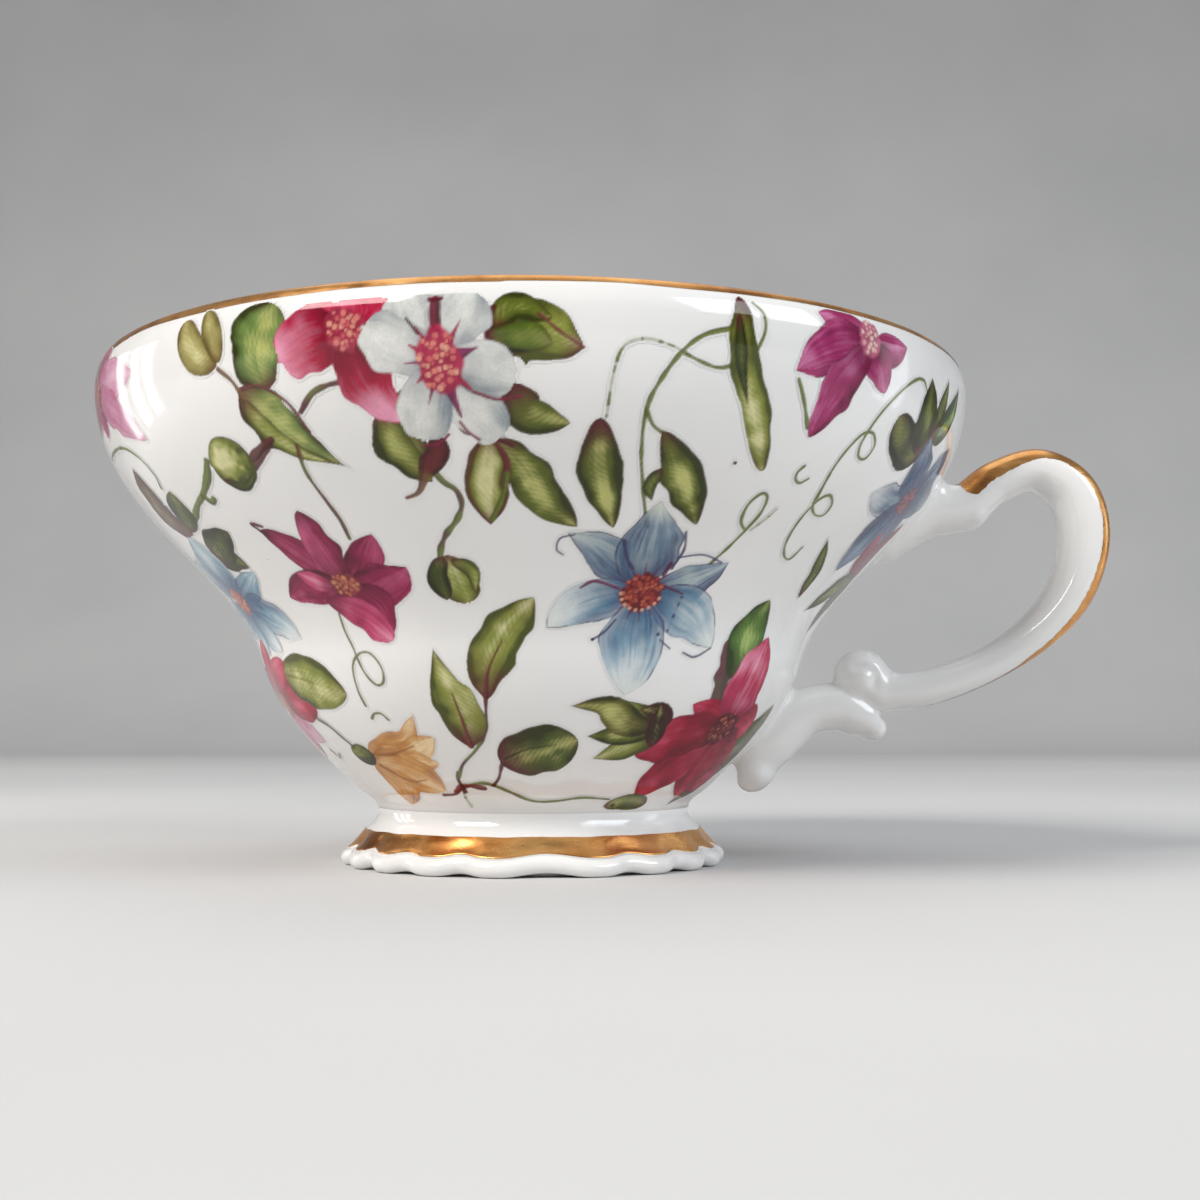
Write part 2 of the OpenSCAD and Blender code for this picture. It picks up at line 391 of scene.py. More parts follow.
def foot_outline():
    """The foot's profile with each point's share of the scallops: rows of radius, height, cut, lift."""
    neck = cubic([(NECK_R, FOOT_H), (NECK_R - 0.1, 5.6), (NECK_R + 0.3, 4.95), SLOPE_TOP],
                 np.linspace(0, 1, 12))
    slope = cubic([SLOPE_TOP, (NECK_R + 2.0, 3.55), (FOOT_R - 1.6, EDGE_H + 0.6), SLOPE_LOW],
                  np.linspace(0, 1, 22))
    half = EDGE_H / 2
    angle = np.linspace(math.radians(105), math.radians(-90), 18)
    edge = np.stack([FOOT_R - half + half * np.cos(angle), half + half * np.sin(angle)], -1)
    ring = np.stack([np.linspace(FOOT_R - half, FOOT_R - 5, 8)[1:], np.zeros(7)], -1)
    hollow_top = (NECK_R - 3.4, FOOT_H + 0.2)
    hollow = cubic([(FOOT_R - 5, 0), (FOOT_R - 5.9, 0.3), (NECK_R - 1.6, 3.2), hollow_top],
                   np.linspace(0, 1, 16))
    outline = np.vstack([neck, slope[1:], edge, ring, hollow[1:]])
    reach = smoothstep(NECK_R + 0.9, FOOT_R - 0.9, outline[:, 0])
    outside = np.arange(len(outline)) < len(neck) + len(slope) + len(edge)
    low_ring = smoothstep(FOOT_R - 3.2, FOOT_R - 0.9, outline[:, 0])
    cut = np.where(outside, 0.7 * reach, 0.75 * low_ring)
    lift = np.where(outside, 0.38 * reach, 0.38 * low_ring)
    return np.column_stack([outline, cut, lift])


def scalloped(k, columns, out=0.0):
    """Radius and height at rows k of the foot's profile, all round, with the lobes pressed into it."""
    outline = foot_outline()
    r, z, cut, lift = [np.interp(k, np.arange(len(outline)), outline[:, i]) for i in range(4)]
    n = notch(turn(columns))
    return r - cut * n + out, z + lift * n + out


def build_foot():
    """The foot: a neck, a flared slope and a thick scalloped edge, hollow underneath."""
    k = np.arange(len(foot_outline()))[:, None]
    add_ring("foot_porcelain", *scalloped(k, FOOT_COLUMNS), k / 60, PORCELAIN,
             ["foot", "foot_luting_slip"], "porcelain")


def wobble(theta, seed, size):
    """A slow hand-drawn waver, the same after a full turn."""
    draw = random.Random(seed)
    waves = [(draw.randint(2, 40), draw.uniform(0, 6.28), draw.uniform(0.3, 1)) for _ in range(14)]
    return size * sum(a * np.sin(k * theta + p) / math.sqrt(k) for k, p, a in waves)


def build_foot_gold():
    """The gold band brushed round the foot's slope, down to the crease above the edge."""
    theta = turn(FOOT_COLUMNS)
    top = 12.5 + wobble(theta, 3, 0.35)
    low = 33.2 + wobble(theta, 4, 0.35)
    k = top + (low - top) * np.linspace(0, 1, 12)[:, None]
    add_ring("foot_gold", *scalloped(k, FOOT_COLUMNS, LIFT), k / 40, GOLD, ["foot_gilding"], "gilding")


def build_rim_gold():
    """The gold line on the lip, drawn by hand: its lower edge wavers and is widest on the left."""
    theta = turn(FOOT_COLUMNS)
    wide = 0.22 * bell((theta - math.radians(280)) / math.pi, 0.35)
    start = math.radians(48) + wobble(theta, 5, 0.05) - wide
    end = math.radians(128) + wobble(theta, 6, 0.06)
    angle = start + (end - start) * np.linspace(0, 1, 14)[:, None]
    add_ring("rim_gold", *lip_point(angle, LIFT), angle / 6, GOLD, ["rim_gilding"], "gilding")


# ---------------------------------------------------------------- printed flowers
#
# The print is painted on a sheet of small cells wrapped round the bowl. Places on it are
# (angle in degrees, arc length above the neck in millimetres).

CELL_UP = 0.16  # height of a cell in millimetres
CELL_ROUND = 0.2  # width of a cell in degrees
PRINT_S = np.arange(0.26, WALL_LENGTH + 2.2, CELL_UP)
PRINT_R = wall_at(PRINT_S)[0]
COLUMNS = int(360 / CELL_ROUND)
SOFT_EDGE = 0.1  # how far a painted edge fades out on each side
BARE = 0.02  # cover below which a cell counts as unpainted
TRIM_S = 59.6  # where the sheet was cut straight through the rim flowers
ink = np.ones((len(PRINT_S), COLUMNS, 3))
cover = np.zeros((len(PRINT_S), COLUMNS))
owner = np.full((len(PRINT_S), COLUMNS), -1)
groups = []
NOISE = np.random.RandomState(7).rand(256, 256)


def linear(colour):
    """Linear light of a colour given as it looks, 0 to 255."""
    c = np.array(colour) / 255
    return np.where(c > 0.04, ((c + 0.055) / 1.055) ** 2.4, c / 12.92)


def grain(x, y, seed=0):
    """Smooth noise from 0 to 1, one bump per unit."""
    x, y = np.broadcast_arrays(x, y)
    i, j = np.floor(x).astype(int), np.floor(y).astype(int)
    u, v = smoothstep(0, 1, x - i), smoothstep(0, 1, y - j)
    i, j = i + 37 * seed, j + 91 * seed
    a, b = NOISE[i % 256, j % 256], NOISE[(i + 1) % 256, j % 256]
    c, d = NOISE[i % 256, (j + 1) % 256], NOISE[(i + 1) % 256, (j + 1) % 256]
    return (a * (1 - u) + b * u) * (1 - v) + (c * (1 - u) + d * u) * v


def mix(a, b, share):
    """Colour a turning into colour b as the share goes from 0 to 1."""
    share = np.asarray(share)[..., None]
    return np.asarray(a) * (1 - share) + np.asarray(b) * share


def flat(places, middle):
    """Places on the print as millimetres right of and above a middle place."""
    turned, s = np.asarray(places, float).T
    return np.stack([np.radians(turned - middle[0]) * wall_at(s)[0], s - middle[1]], -1)


def window(places, margin):
    """Cells of the print around some places: their numbers and their millimetre coordinates."""
    places = np.asarray(places, float)
    middle = places.mean(0)
    low, high = places.min(0), places.max(0)
    rows = np.flatnonzero((PRINT_S > low[1] - margin) & (PRINT_S < high[1] + margin))
    spare = math.degrees(margin / PRINT_R[rows[0]])
    first = math.floor((low[0] - spare + 180) / CELL_ROUND)
    last = math.ceil((high[0] + spare + 180) / CELL_ROUND)
    columns = np.arange(first, last + 1)
    x = np.radians(columns * CELL_ROUND - 180 - middle[0])[None, :] * PRINT_R[rows][:, None]
    y = np.broadcast_to((PRINT_S[rows] - middle[1])[:, None], x.shape)
    return np.ix_(rows, columns % COLUMNS), x, y, middle


def lay(cells, colour, amount):
    """Paints a colour over the cells, as much as amount says, for the group that was begun last."""
    old = cover[cells] * (1 - amount)
    new = old + amount
    share = amount / np.maximum(new, 1e-6)
    ink[cells] = ink[cells] * (1 - share)[..., None] + colour * share[..., None]
    cover[cells] = new
    owner[cells] = np.where(amount > 0.04, len(groups) - 1, owner[cells])


def begin(name):
    """Starts a new piece of the print; what is painted next belongs to it."""
    groups.append("print_" + name)


def spine_through(places, middle, bend):
    """A smooth line through two or more places; bend bows a straight one to its left."""
    points = flat(places, middle)
    if len(points) == 2:
        a, b = points
        across = np.array([a[1] - b[1], b[0] - a[0]]) / max(np.hypot(*(b - a)), 1e-6)
        t = np.linspace(0, 1, 13)[:, None]
        return (1 - t) ** 2 * a + 2 * t * (1 - t) * ((a + b) / 2 + 2 * bend * across) + t * t * b
    return curve_through(points, np.linspace(0, len(points) - 1, 6 * (len(points) - 1) + 1))


def measure(x, y, spine):
    """How far along a spine each cell lies (0 to 1), its signed distance, and the spine's length."""
    steps = np.diff(spine, axis=0)
    lengths = np.maximum(np.hypot(*steps.T), 1e-6)
    starts = np.concatenate([[0], np.cumsum(lengths)])
    nearest = np.full(x.shape, 1e9)
    side = np.zeros(x.shape)
    share = np.zeros(x.shape)
    for a, step, length, begun in zip(spine, steps, lengths, starts):
        dx, dy = x - a[0], y - a[1]
        t = np.clip((dx * step[0] + dy * step[1]) / length ** 2, 0, 1)
        gap = np.hypot(dx - t * step[0], dy - t * step[1])
        better = gap < nearest
        nearest = np.where(better, gap, nearest)
        side = np.where(better, np.sign(step[0] * dy - step[1] * dx), side)
        share = np.where(better, (begun + t * length) / starts[-1], share)
    return share, nearest * side, starts[-1]


def ready(look, change):
    """A look with its changes made and its colours in linear light."""
    return {key: linear(value) if isinstance(value, tuple) else value
            for key, value in {**look, **change}.items()}


def shaded(look, tone):
    """The look's dark, body and light colours as the tone goes from 0 to 1."""
    tone = np.clip(tone, 0, 1)
    return np.where(tone[..., None] < 0.5, mix(look["dark"], look["body"], tone * 2),
                    mix(look["body"], look["light"], tone * 2 - 1))


def blade(places, width, seed, look, bend=0.0, belly=0.45, full=0.7, light=0.0, **change):
    """A petal or leaf from its base to its tip, washed and streaked, with a broken outline.

    It is widest where belly says, and blunt when full is small. light > 0 makes its left half
    lighter and < 0 its right half.
    """
    look = ready(look, change)
    cells, x, y, middle = window(places, width / 2 + abs(bend) + 0.6)
    t, d, length = measure(x, y, spine_through(places, middle, bend))
    run = t * length
    tip_power = full * (1 - belly) / belly
    peak = belly ** full * (1 - belly) ** tip_power
    half = width / 2 * np.maximum(t, 1e-4) ** full * np.maximum(1 - t, 1e-4) ** tip_power / peak
    half = half * (1 + look["wave"] * (grain(run / 1.7 + 3, np.sign(d) * 2 + 5, seed) - 0.5))
    edge = half - np.abs(d)
    u = d / np.maximum(half, 0.05)
    across = u * width
    streak = grain(across / 0.5 + 9, run / 3.4, seed) + 0.6 * grain(across / 0.24, run / 1.8, seed + 1)
    wash = 0.65 * grain(x / 2.6 + 20, y / 2.6 + 20, seed + 3) + 0.35 * grain(x / 1.1, y / 1.1, seed + 4)
    tone = 0.5 + look["streak"] * (streak / 1.6 - 0.5) * 2 * (1 - 0.4 * t) + look["wash"] * (wash - 0.5) * 2
    tone += light * 0.5 * u + look["rise"] * (t - 0.45)
    tone += look["glow"] * (bell(u - look["off"], 0.42) - 0.45)
    tone -= look["rim"] * smoothstep(0.45, 1, np.abs(u)) + look["rib"] * bell(d, 0.2) * (1 - t)
    hatch = (run * 0.7 - d * 0.8) / 0.5 + 1.6 * wash
    tone -= look["hatch"] * bell(hatch - np.floor(hatch) - 0.5, 0.24) * smoothstep(0.35, 0.7, tone)
    colour = shaded(look, tone)
    root = look["root"] * bell(t, look["root_length"] * (0.6 + 0.8 * streak / 1.6))
    colour = mix(colour, look["base"], root)
    colour = mix(colour, look["tip"], look["tip_share"] * smoothstep(0.72, 1.0, t))
    broken = smoothstep(0.3, 0.65, grain(run / 1.3, np.sign(d) * 3 + 5, seed + 2))
    line = look["outline"] * (1 - smoothstep(0.04, look["line_width"], edge)) * (0.3 + 0.7 * broken)
    colour = mix(colour, look["line"], line)
    inside = smoothstep(-SOFT_EDGE, SOFT_EDGE, edge)
    thin = look["fade"] * smoothstep(0.35, 1.0, np.maximum(t, np.abs(u) * 0.9)) * (1 - line)
    lay(cells, colour, inside * (1 - thin))


def bud(place, radius, seed, look, **change):
    """A round bud lit from the upper left, darker and browner towards its edge."""
    look = ready(look, change)
    cells, x, y, _ = window([place], radius + 0.6)
    r = np.hypot(x, y) / radius * (1 + 0.08 * (grain(np.arctan2(y, x) * 1.6 + 9, 3, seed) - 0.5))
    wash = 0.5 * grain(x / 1.6 + 20, y / 1.6 + 20, seed) + 0.5 * grain(x / 0.6, y / 0.6, seed + 1)
    tone = 0.55 + look["wash"] * (wash - 0.5) * 2 + 0.3 * (y - x) / radius - 0.5 * smoothstep(0.45, 1.0, r)
    tone += 0.5 * bell(np.hypot(x + 0.3 * radius, y - 0.2 * radius) / radius, 0.45)
    colour = mix(shaded(look, tone), look["line"], look["outline"] * smoothstep(1 - 0.34 / radius, 1.0, r))
    lay(cells, colour, smoothstep(-SOFT_EDGE, SOFT_EDGE, (1 - r) * radius))


def stroke(places, width, colour, seed, other=None, taper=1.0, dotted=0.0):
    """A thin painted line through places; other is a second colour that it picks up in patches.

    taper is the width at its end as a share of the start's, and dotted breaks the line up.
    """
    cells, x, y, middle = window(places, width + 0.5)
    t, d, length = measure(x, y, spine_through(places, middle, 0.0))
    run = t * length
    half = width / 2 * (taper + (1 - taper) * (1 - t)) * (0.75 + 0.5 * grain(run / 1.1, 3, seed))
    amount = smoothstep(-SOFT_EDGE, SOFT_EDGE, half - np.abs(d))
    amount *= 1 - dotted * smoothstep(0.45, 0.6, grain(run / 0.45, 8, seed))
    patch = smoothstep(0.5, 0.75, grain(run / 2.4, 12, seed))
    shade = mix(linear(colour), linear(other or colour), patch)
    lay(cells, mix(shade, shade * 0.55, smoothstep(0, 0.12, -d)), amount * 0.95)


def dot(place, radius, colour, strength=1.0, dim=1.0):
    """A small round touch of colour; dim darkens it."""
    cells, x, y, _ = window([place], radius + 0.4)
    amount = strength * smoothstep(-0.08, 0.08, radius - np.hypot(x, y))
    lay(cells, np.broadcast_to(linear(colour) * dim, (*x.shape, 3)), amount)


def beside(place, right, up):
    """The place some millimetres right of and above another."""
    return place[0] + math.degrees(right / wall_at(place[1])[0]), place[1] + up


def stamens(place, radius, under, dots, seed, count, squash=1.0):
    """A flower's eye: a dark ragged bed covered with small curled touches, each with a darker edge."""
    draw = random.Random(seed)
    cells, x, y, _ = window([place], radius * squash + 0.9)
    angle = np.arctan2(y / squash, x)
    rough = radius * (0.88 + 0.3 * grain(angle * 3.2 + 12, 4, seed))
    bed = mix(linear(under), linear(under) * 0.55, grain(x / 0.45 + 9, y / 0.45 + 9, seed))
    lay(cells, bed, smoothstep(-0.25, 0.15, rough - np.hypot(x, y / squash)))
    for i in range(count):
        a = 2.4 * i + draw.uniform(-0.3, 0.3)
        r = draw.uniform(0.85, 1.02) * radius * math.sqrt((i + 0.5) / count)
        spot = beside(place, r * math.cos(a), squash * r * math.sin(a))
        size = draw.uniform(0.15, 0.31)
        dot(spot, size + 0.1, under, 0.6, dim=0.7)
        dot((spot[0] - 0.05, spot[1] + 0.05), size, draw.choice(dots), 0.8)


def toward(start, end, share):
    """The place a share of the way from start to end."""
    return tuple(a + (b - a) * share for a, b in zip(start, end))


def new_look(body, dark, light, line, **change):
    """How a petal or leaf is painted, with colours as they look; the defaults are a plain petal's."""
    return {"body": body, "dark": dark, "light": light, "line": line, "base": dark, "tip": light,
            "wave": 0.3, "streak": 0.26, "wash": 0.3, "hatch": 0, "rise": 0.2, "glow": 0.2, "off": 0,
            "rim": 0, "rib": 0, "root": 0.7, "root_length": 0.3, "tip_share": 0, "outline": 0.75,
            "line_width": 0.26, "fade": 0, **change}


def tinted(kind, body, dark, light, **change):
    """A look with other colours, and the rest as it was."""
    return {**kind, "body": body, "dark": dark, "light": light, **change}


MAROON = (92, 24, 38)
OLIVE = (104, 116, 34)
LEAF = new_look((98, 108, 34), (50, 56, 14), (194, 194, 118), (74, 62, 24), base=MAROON, tip=MAROON,
                wash=0.55, hatch=0.14, glow=0.42, rim=0.35, rib=0.2, rise=0.1, root=0.85,
                root_length=0.15, streak=0.16, tip_share=0.25)
PALE_LEAF = tinted(LEAF, (142, 148, 66), (76, 82, 28), (220, 216, 160))
DARK_LEAF = tinted(LEAF, (66, 76, 28), (32, 34, 14), (128, 134, 64))
BROWN_LEAF = tinted(LEAF, (98, 72, 34), (66, 24, 26), (160, 150, 88))
GREEN_LEAF = tinted(LEAF, (82, 118, 44), (38, 60, 20), (170, 192, 110))
GREY_BLUE = new_look((110, 134, 156), (48, 64, 104), (184, 198, 198), (44, 40, 76), base=(34, 54, 100),
                     root=0.9, root_length=0.34, fade=0.15, wash=0.34, streak=0.55, outline=1.0)
CLEAR_BLUE = new_look((134, 171, 190), (44, 92, 134), (220, 230, 231), (52, 48, 92), base=(30, 68, 116),
                      root=0.95, root_length=0.4, fade=0.4, rise=0.75, streak=0.55, outline=1.0)
SLATE = tinted(GREY_BLUE, (60, 86, 120), (26, 38, 72), (124, 146, 170))
MAGENTA = new_look((150, 34, 78), (84, 8, 38), (204, 92, 134), (98, 12, 44), base=(80, 6, 32), wash=0.4,
                   streak=0.3)
PINK = tinted(MAGENTA, (200, 76, 116), (150, 32, 74), (236, 156, 180))
PURPLE = tinted(MAGENTA, (168, 52, 106), (96, 14, 50), (214, 128, 172))
DEEP_PINK = tinted(MAGENTA, (122, 14, 56), (66, 4, 28), (172, 60, 100))
RED = new_look((182, 30, 66), (108, 8, 32), (222, 92, 124), (110, 10, 34), base=(88, 6, 26), wash=0.4,
               streak=0.22)
# a deeper red, darkened further as painted shade for the flower on the shaded side by the handle
SHADED_DEEP_RED = tinted(RED, (160, 20, 52), (84, 4, 22), (206, 68, 100))
RED_TO_PALE = tinted(RED, (182, 30, 66), (108, 8, 32), (238, 160, 186), rise=0.9, wash=0.25,
                     root_length=0.5, streak=0.16, line=(176, 44, 84))
PALE_PINK = new_look((206, 134, 168), (150, 58, 98), (232, 190, 208), (140, 52, 90), fade=0.2)
WHITE = new_look((206, 208, 204), (146, 152, 156), (234, 233, 228), (128, 122, 130), base=(122, 112, 134),
                 wash=0.34, outline=0.3, glow=0.3)
OCHRE = new_look((216, 156, 84), (160, 92, 38), (250, 222, 172), (158, 98, 46), outline=0.4, root=0.5,
                 fade=0.1, streak=0.4, wash=0.45)


def leaf(places, width, seed, kind=LEAF, belly=0.4, full=0.8, **change):
    """A leaf, widest below its middle and drawn out to a point."""
    blade(places, width, seed, kind, belly=belly, full=full, **change)


def flower(centre, petals, eye=0.0):
    """Petals round a centre, painted in the order given: tip, width, look, bend and any changes."""
    for number, (tip, width, kind, bend, *changes) in enumerate(petals):
        change = dict(*changes)
        start = change.pop("start", toward(centre, tip, eye))
        seed = change.pop("seed", number + int(centre[0]))
        blade([start, tip], width, seed, kind, bend, **change)


def paint_blue_clematis():
    """The six-petalled blue flower in the middle of each side."""
    begin("blue_clematis")
    centre = (20.8, 28.7)
    cream = (222, 226, 206)
    lower = {"belly": 0.52, "full": 0.95, "tip": (222, 230, 218), "tip_share": 0.7}
    flower(centre, [
        ((7.6, 35.6), 4.6, GREY_BLUE, -0.7, {"light": -0.5, "full": 0.8, "tip": cream, "tip_share": 0.4}),
        ((34.2, 32.8), 4.8, GREY_BLUE, -0.9, {"light": 0.5, "glow": 0.5, "full": 0.85}),
        ((5.2, 24.4), 5, CLEAR_BLUE, -1, {"light": -0.7, **lower}),
        ((37.9, 22.6), 5.4, CLEAR_BLUE, 1, {"light": 0.5, **lower}),
        ((19.5, 39.8), 6.6, GREY_BLUE, 0.2, {"belly": 0.46, "full": 0.9, "tip": cream, "tip_share": 0.8}),
        ((21.1, 17.2), 6.8, CLEAR_BLUE, 0.1, {"seed": 5, **lower}),
    ])
    line = (64, 60, 100)
    plum = (92, 30, 76)
    stroke([(8.6, 35.4), (6.6, 34.9), (6.2, 33.6), (7.2, 32.9)], 0.22, line, 3)
    stroke([(24.9, 33), (29, 33.5), (32.9, 32.7)], 0.26, (74, 84, 120), 6)
    stroke([(24.6, 31.6), (25.4, 34), (24.6, 36.2)], 0.3, line, 8)
    stroke([(10.4, 29), (12.6, 29.8), (16.6, 29)], 0.34, (120, 40, 80), 4)
    stroke([(15.8, 34.8), (16.8, 32.8), (18.2, 31.4)], 0.34, line, 5)
    stroke([(24.2, 32.2), (23.6, 30.8)], 0.5, plum, 6)
    stroke([(24.6, 29.4), (28.2, 28.6)], 0.3, plum, 7)
    stroke([(28.3, 28.2), (28, 26.4), (27.4, 24.2)], 0.26, (52, 60, 110), 8, dotted=0.8)
    stroke([(31.6, 22), (34.4, 21.6), (37.8, 22.6)], 0.22, line, 9)
    stroke([(26.3, 23.3), (28.6, 22.4)], 0.2, line, 11)
    stroke([(13.4, 23.2), (15.4, 24), (17.2, 25.4)], 0.22, line, 10)
    for spot in [(13.4, 23.2), (25.7, 23.9)]:
        dot(spot, 0.2, line)
    for number in range(12):
        turned = math.radians(30 * number + 8)
        out = (centre[0] + 4.6 * math.cos(turned), centre[1] + 3.5 * math.sin(turned))
        stroke([centre, out], 0.5, plum, number, taper=0.1)
    stamens(centre, 2.1, (126, 32, 40), [(190, 78, 58), (206, 104, 76), (168, 54, 50)], 4, 44)
    for number in range(9):
        turned = math.radians(188 + 19 * number)
        dot(beside(centre, 2.2 * math.cos(turned), 2.2 * math.sin(turned)), 0.2, (226, 166, 140))


def paint_magenta_clematis():
    """The dark pink flower left of the middle, seen half from the side."""
    begin("magenta_clematis")
    centre = (-29, 29.2)
    olive = (112, 112, 60)
    stroke([(-25.6, 46.4), (-25.9, 43.4), (-24.9, 40), (-24.2, 37.6), (-24.2, 35.4)], 0.46, OLIVE, 2,
           other=(104, 66, 46))
    stroke([(-33.4, 26.4), (-33.5, 24.4), (-32.5, 22.5), (-31.2, 20), (-29.2, 18.5), (-27.2, 18.8),
            (-26.9, 20.4), (-28.8, 21.9), (-31.4, 21.9), (-33.6, 20.6), (-34.2, 18), (-33.8, 16)], 0.3,
           olive, 3)
    stroke([(-33.7, 14.4), (-32.4, 15), (-30.6, 15), (-29.4, 14.2)], 0.32, olive, 5)
    deep = (92, 10, 44)
    dot((-29.2, 29.4), 3, deep)
    flower(centre, [
        ((-20.4, 35.8), 4.6, MAGENTA, -0.4, {"light": -0.5}),
        ((-16.9, 31.6), 5.2, MAGENTA, -0.9, {"light": -0.4}),
        ((-22.9, 24), 5.4, MAGENTA, 0.4),
        ((-39.4, 37.4), 4, MAGENTA, -0.5, {"belly": 0.5, "tip": deep, "tip_share": 0.9}),
        ((-30.4, 39.2), 4.4, MAGENTA, 0.1, {"belly": 0.5, "light": 0.5, "tip": deep, "tip_share": 0.8}),
        ((-43.6, 28.7), 4.8, MAGENTA, -0.8, {"light": 0.4}),
        ((-38, 31.8), 2.4, PINK, 0.4, {"start": (-31.5, 29.8)}),
        ((-23.3, 23.2), 3.6, PINK, 0.7, {"start": (-35, 28), "belly": 0.6, "rise": 0.1}),
    ])
    stroke([(-39, 36.8), (-40.4, 38.2), (-38.6, 37.8)], 0.5, deep, 8)
    stamens((-29.2, 29.8), 1.7, (150, 60, 66), [(214, 146, 104), (196, 112, 88)], 6, 24, squash=0.8)


def paint_rim_flowers():
    """The red and the white flower that overlap below the lip."""
    begin("red_rim_flower")
    stroke([(-23.6, 49.6), (-21.5, 51.3), (-18.6, 52), (-16, 51.8)], 0.6, OLIVE, 2, other=MAROON)
    centre = (-17, 56.7)
    blunt = {"full": 0.5, "belly": 0.62}
    flower(centre, [
        ((-12.4, 59.2), 5.8, RED, -0.2, {"light": 0.4, **blunt}),
        ((-21.9, 59), 5.2, RED, 0.2, blunt),
        ((-17.2, 59.4), 5.4, RED, 0, blunt),
        ((-24.9, 54.6), 6, RED_TO_PALE, -0.3, {"off": -0.3, **blunt}),
        ((-11.9, 47.9), 5.2, RED_TO_PALE, -0.5, {"belly": 0.48, "full": 0.8, "light": -0.5}),
    ])
    stamens(centre, 1.9, (176, 52, 78), [(222, 132, 124), (206, 100, 104), (232, 160, 140)], 8, 30)
    begin("white_clematis")
    centre = (-6.9, 53.4)
    shade = {"dark": (132, 144, 152), **blunt}
    flower(centre, [
        ((-10.6, 59.9), 5.6, WHITE, 0.1, {"light": 0.4, **blunt}),
        ((-3.4, 59.8), 5.6, WHITE, 0.1, {"light": 0.4, **blunt}),
        ((-14.8, 56.8), 5.2, WHITE, 0.3, {"light": 0.4, **blunt}),
        ((-0.6, 46.4), 5.2, WHITE, -0.3, {"light": -0.5, **shade}),
        ((-9.6, 46.2), 5.2, WHITE, -0.3, {"light": -0.4, **shade}),
        ((0.9, 51.6), 4.9, WHITE, 0.3, {"light": 0.5, **blunt}),
    ])
    crimson = (164, 30, 70)
    plum = (128, 24, 84)
    rays = [((-10, 55), 1.7, crimson), ((-9.4, 51.6), 1.2, crimson), ((-8.4, 49.6), 0.9, plum),
            ((-5, 48.3), 1.9, plum), ((-3.4, 50.6), 1.5, crimson), ((-2.9, 54.6), 1.8, plum),
            ((-4.6, 57), 1.1, crimson), ((-9.2, 56.6), 1.4, crimson), ((-10.6, 53.4), 0.8, plum)]
    for tip, width, colour in rays:
        stroke([centre, tip], width, colour, int(tip[1] * 3), taper=0.1)
    stroke([(-9, 56), (-10.2, 57.4)], 0.26, (70, 30, 44), 7)
    stroke([(-7, 56), (-7.2, 57.6), (-7.1, 58.9)], 0.9, (110, 22, 48), 4)
    stroke([(-7.7, 59), (-6.5, 59.1)], 0.4, (110, 22, 48), 5)
    for line in ([(-5.2, 47.8), (-4.4, 46.8), (-3.2, 46)], [(-3.4, 50.6), (-1, 49.9), (1.6, 50.2)],
                 [(-9.6, 45.5), (-8, 45.6), (-6.6, 46.6)]):
        stroke(line, 0.28, (130, 30, 60), 6)
    stamens(centre, 1.95, (186, 48, 84), [(228, 140, 122), (216, 112, 108), (236, 172, 146)], 9, 40,
            squash=1.45)
    above = (PRINT_S > TRIM_S)[:, None] & (owner >= len(groups) - 2)
    cover[above], owner[above] = 0, -1


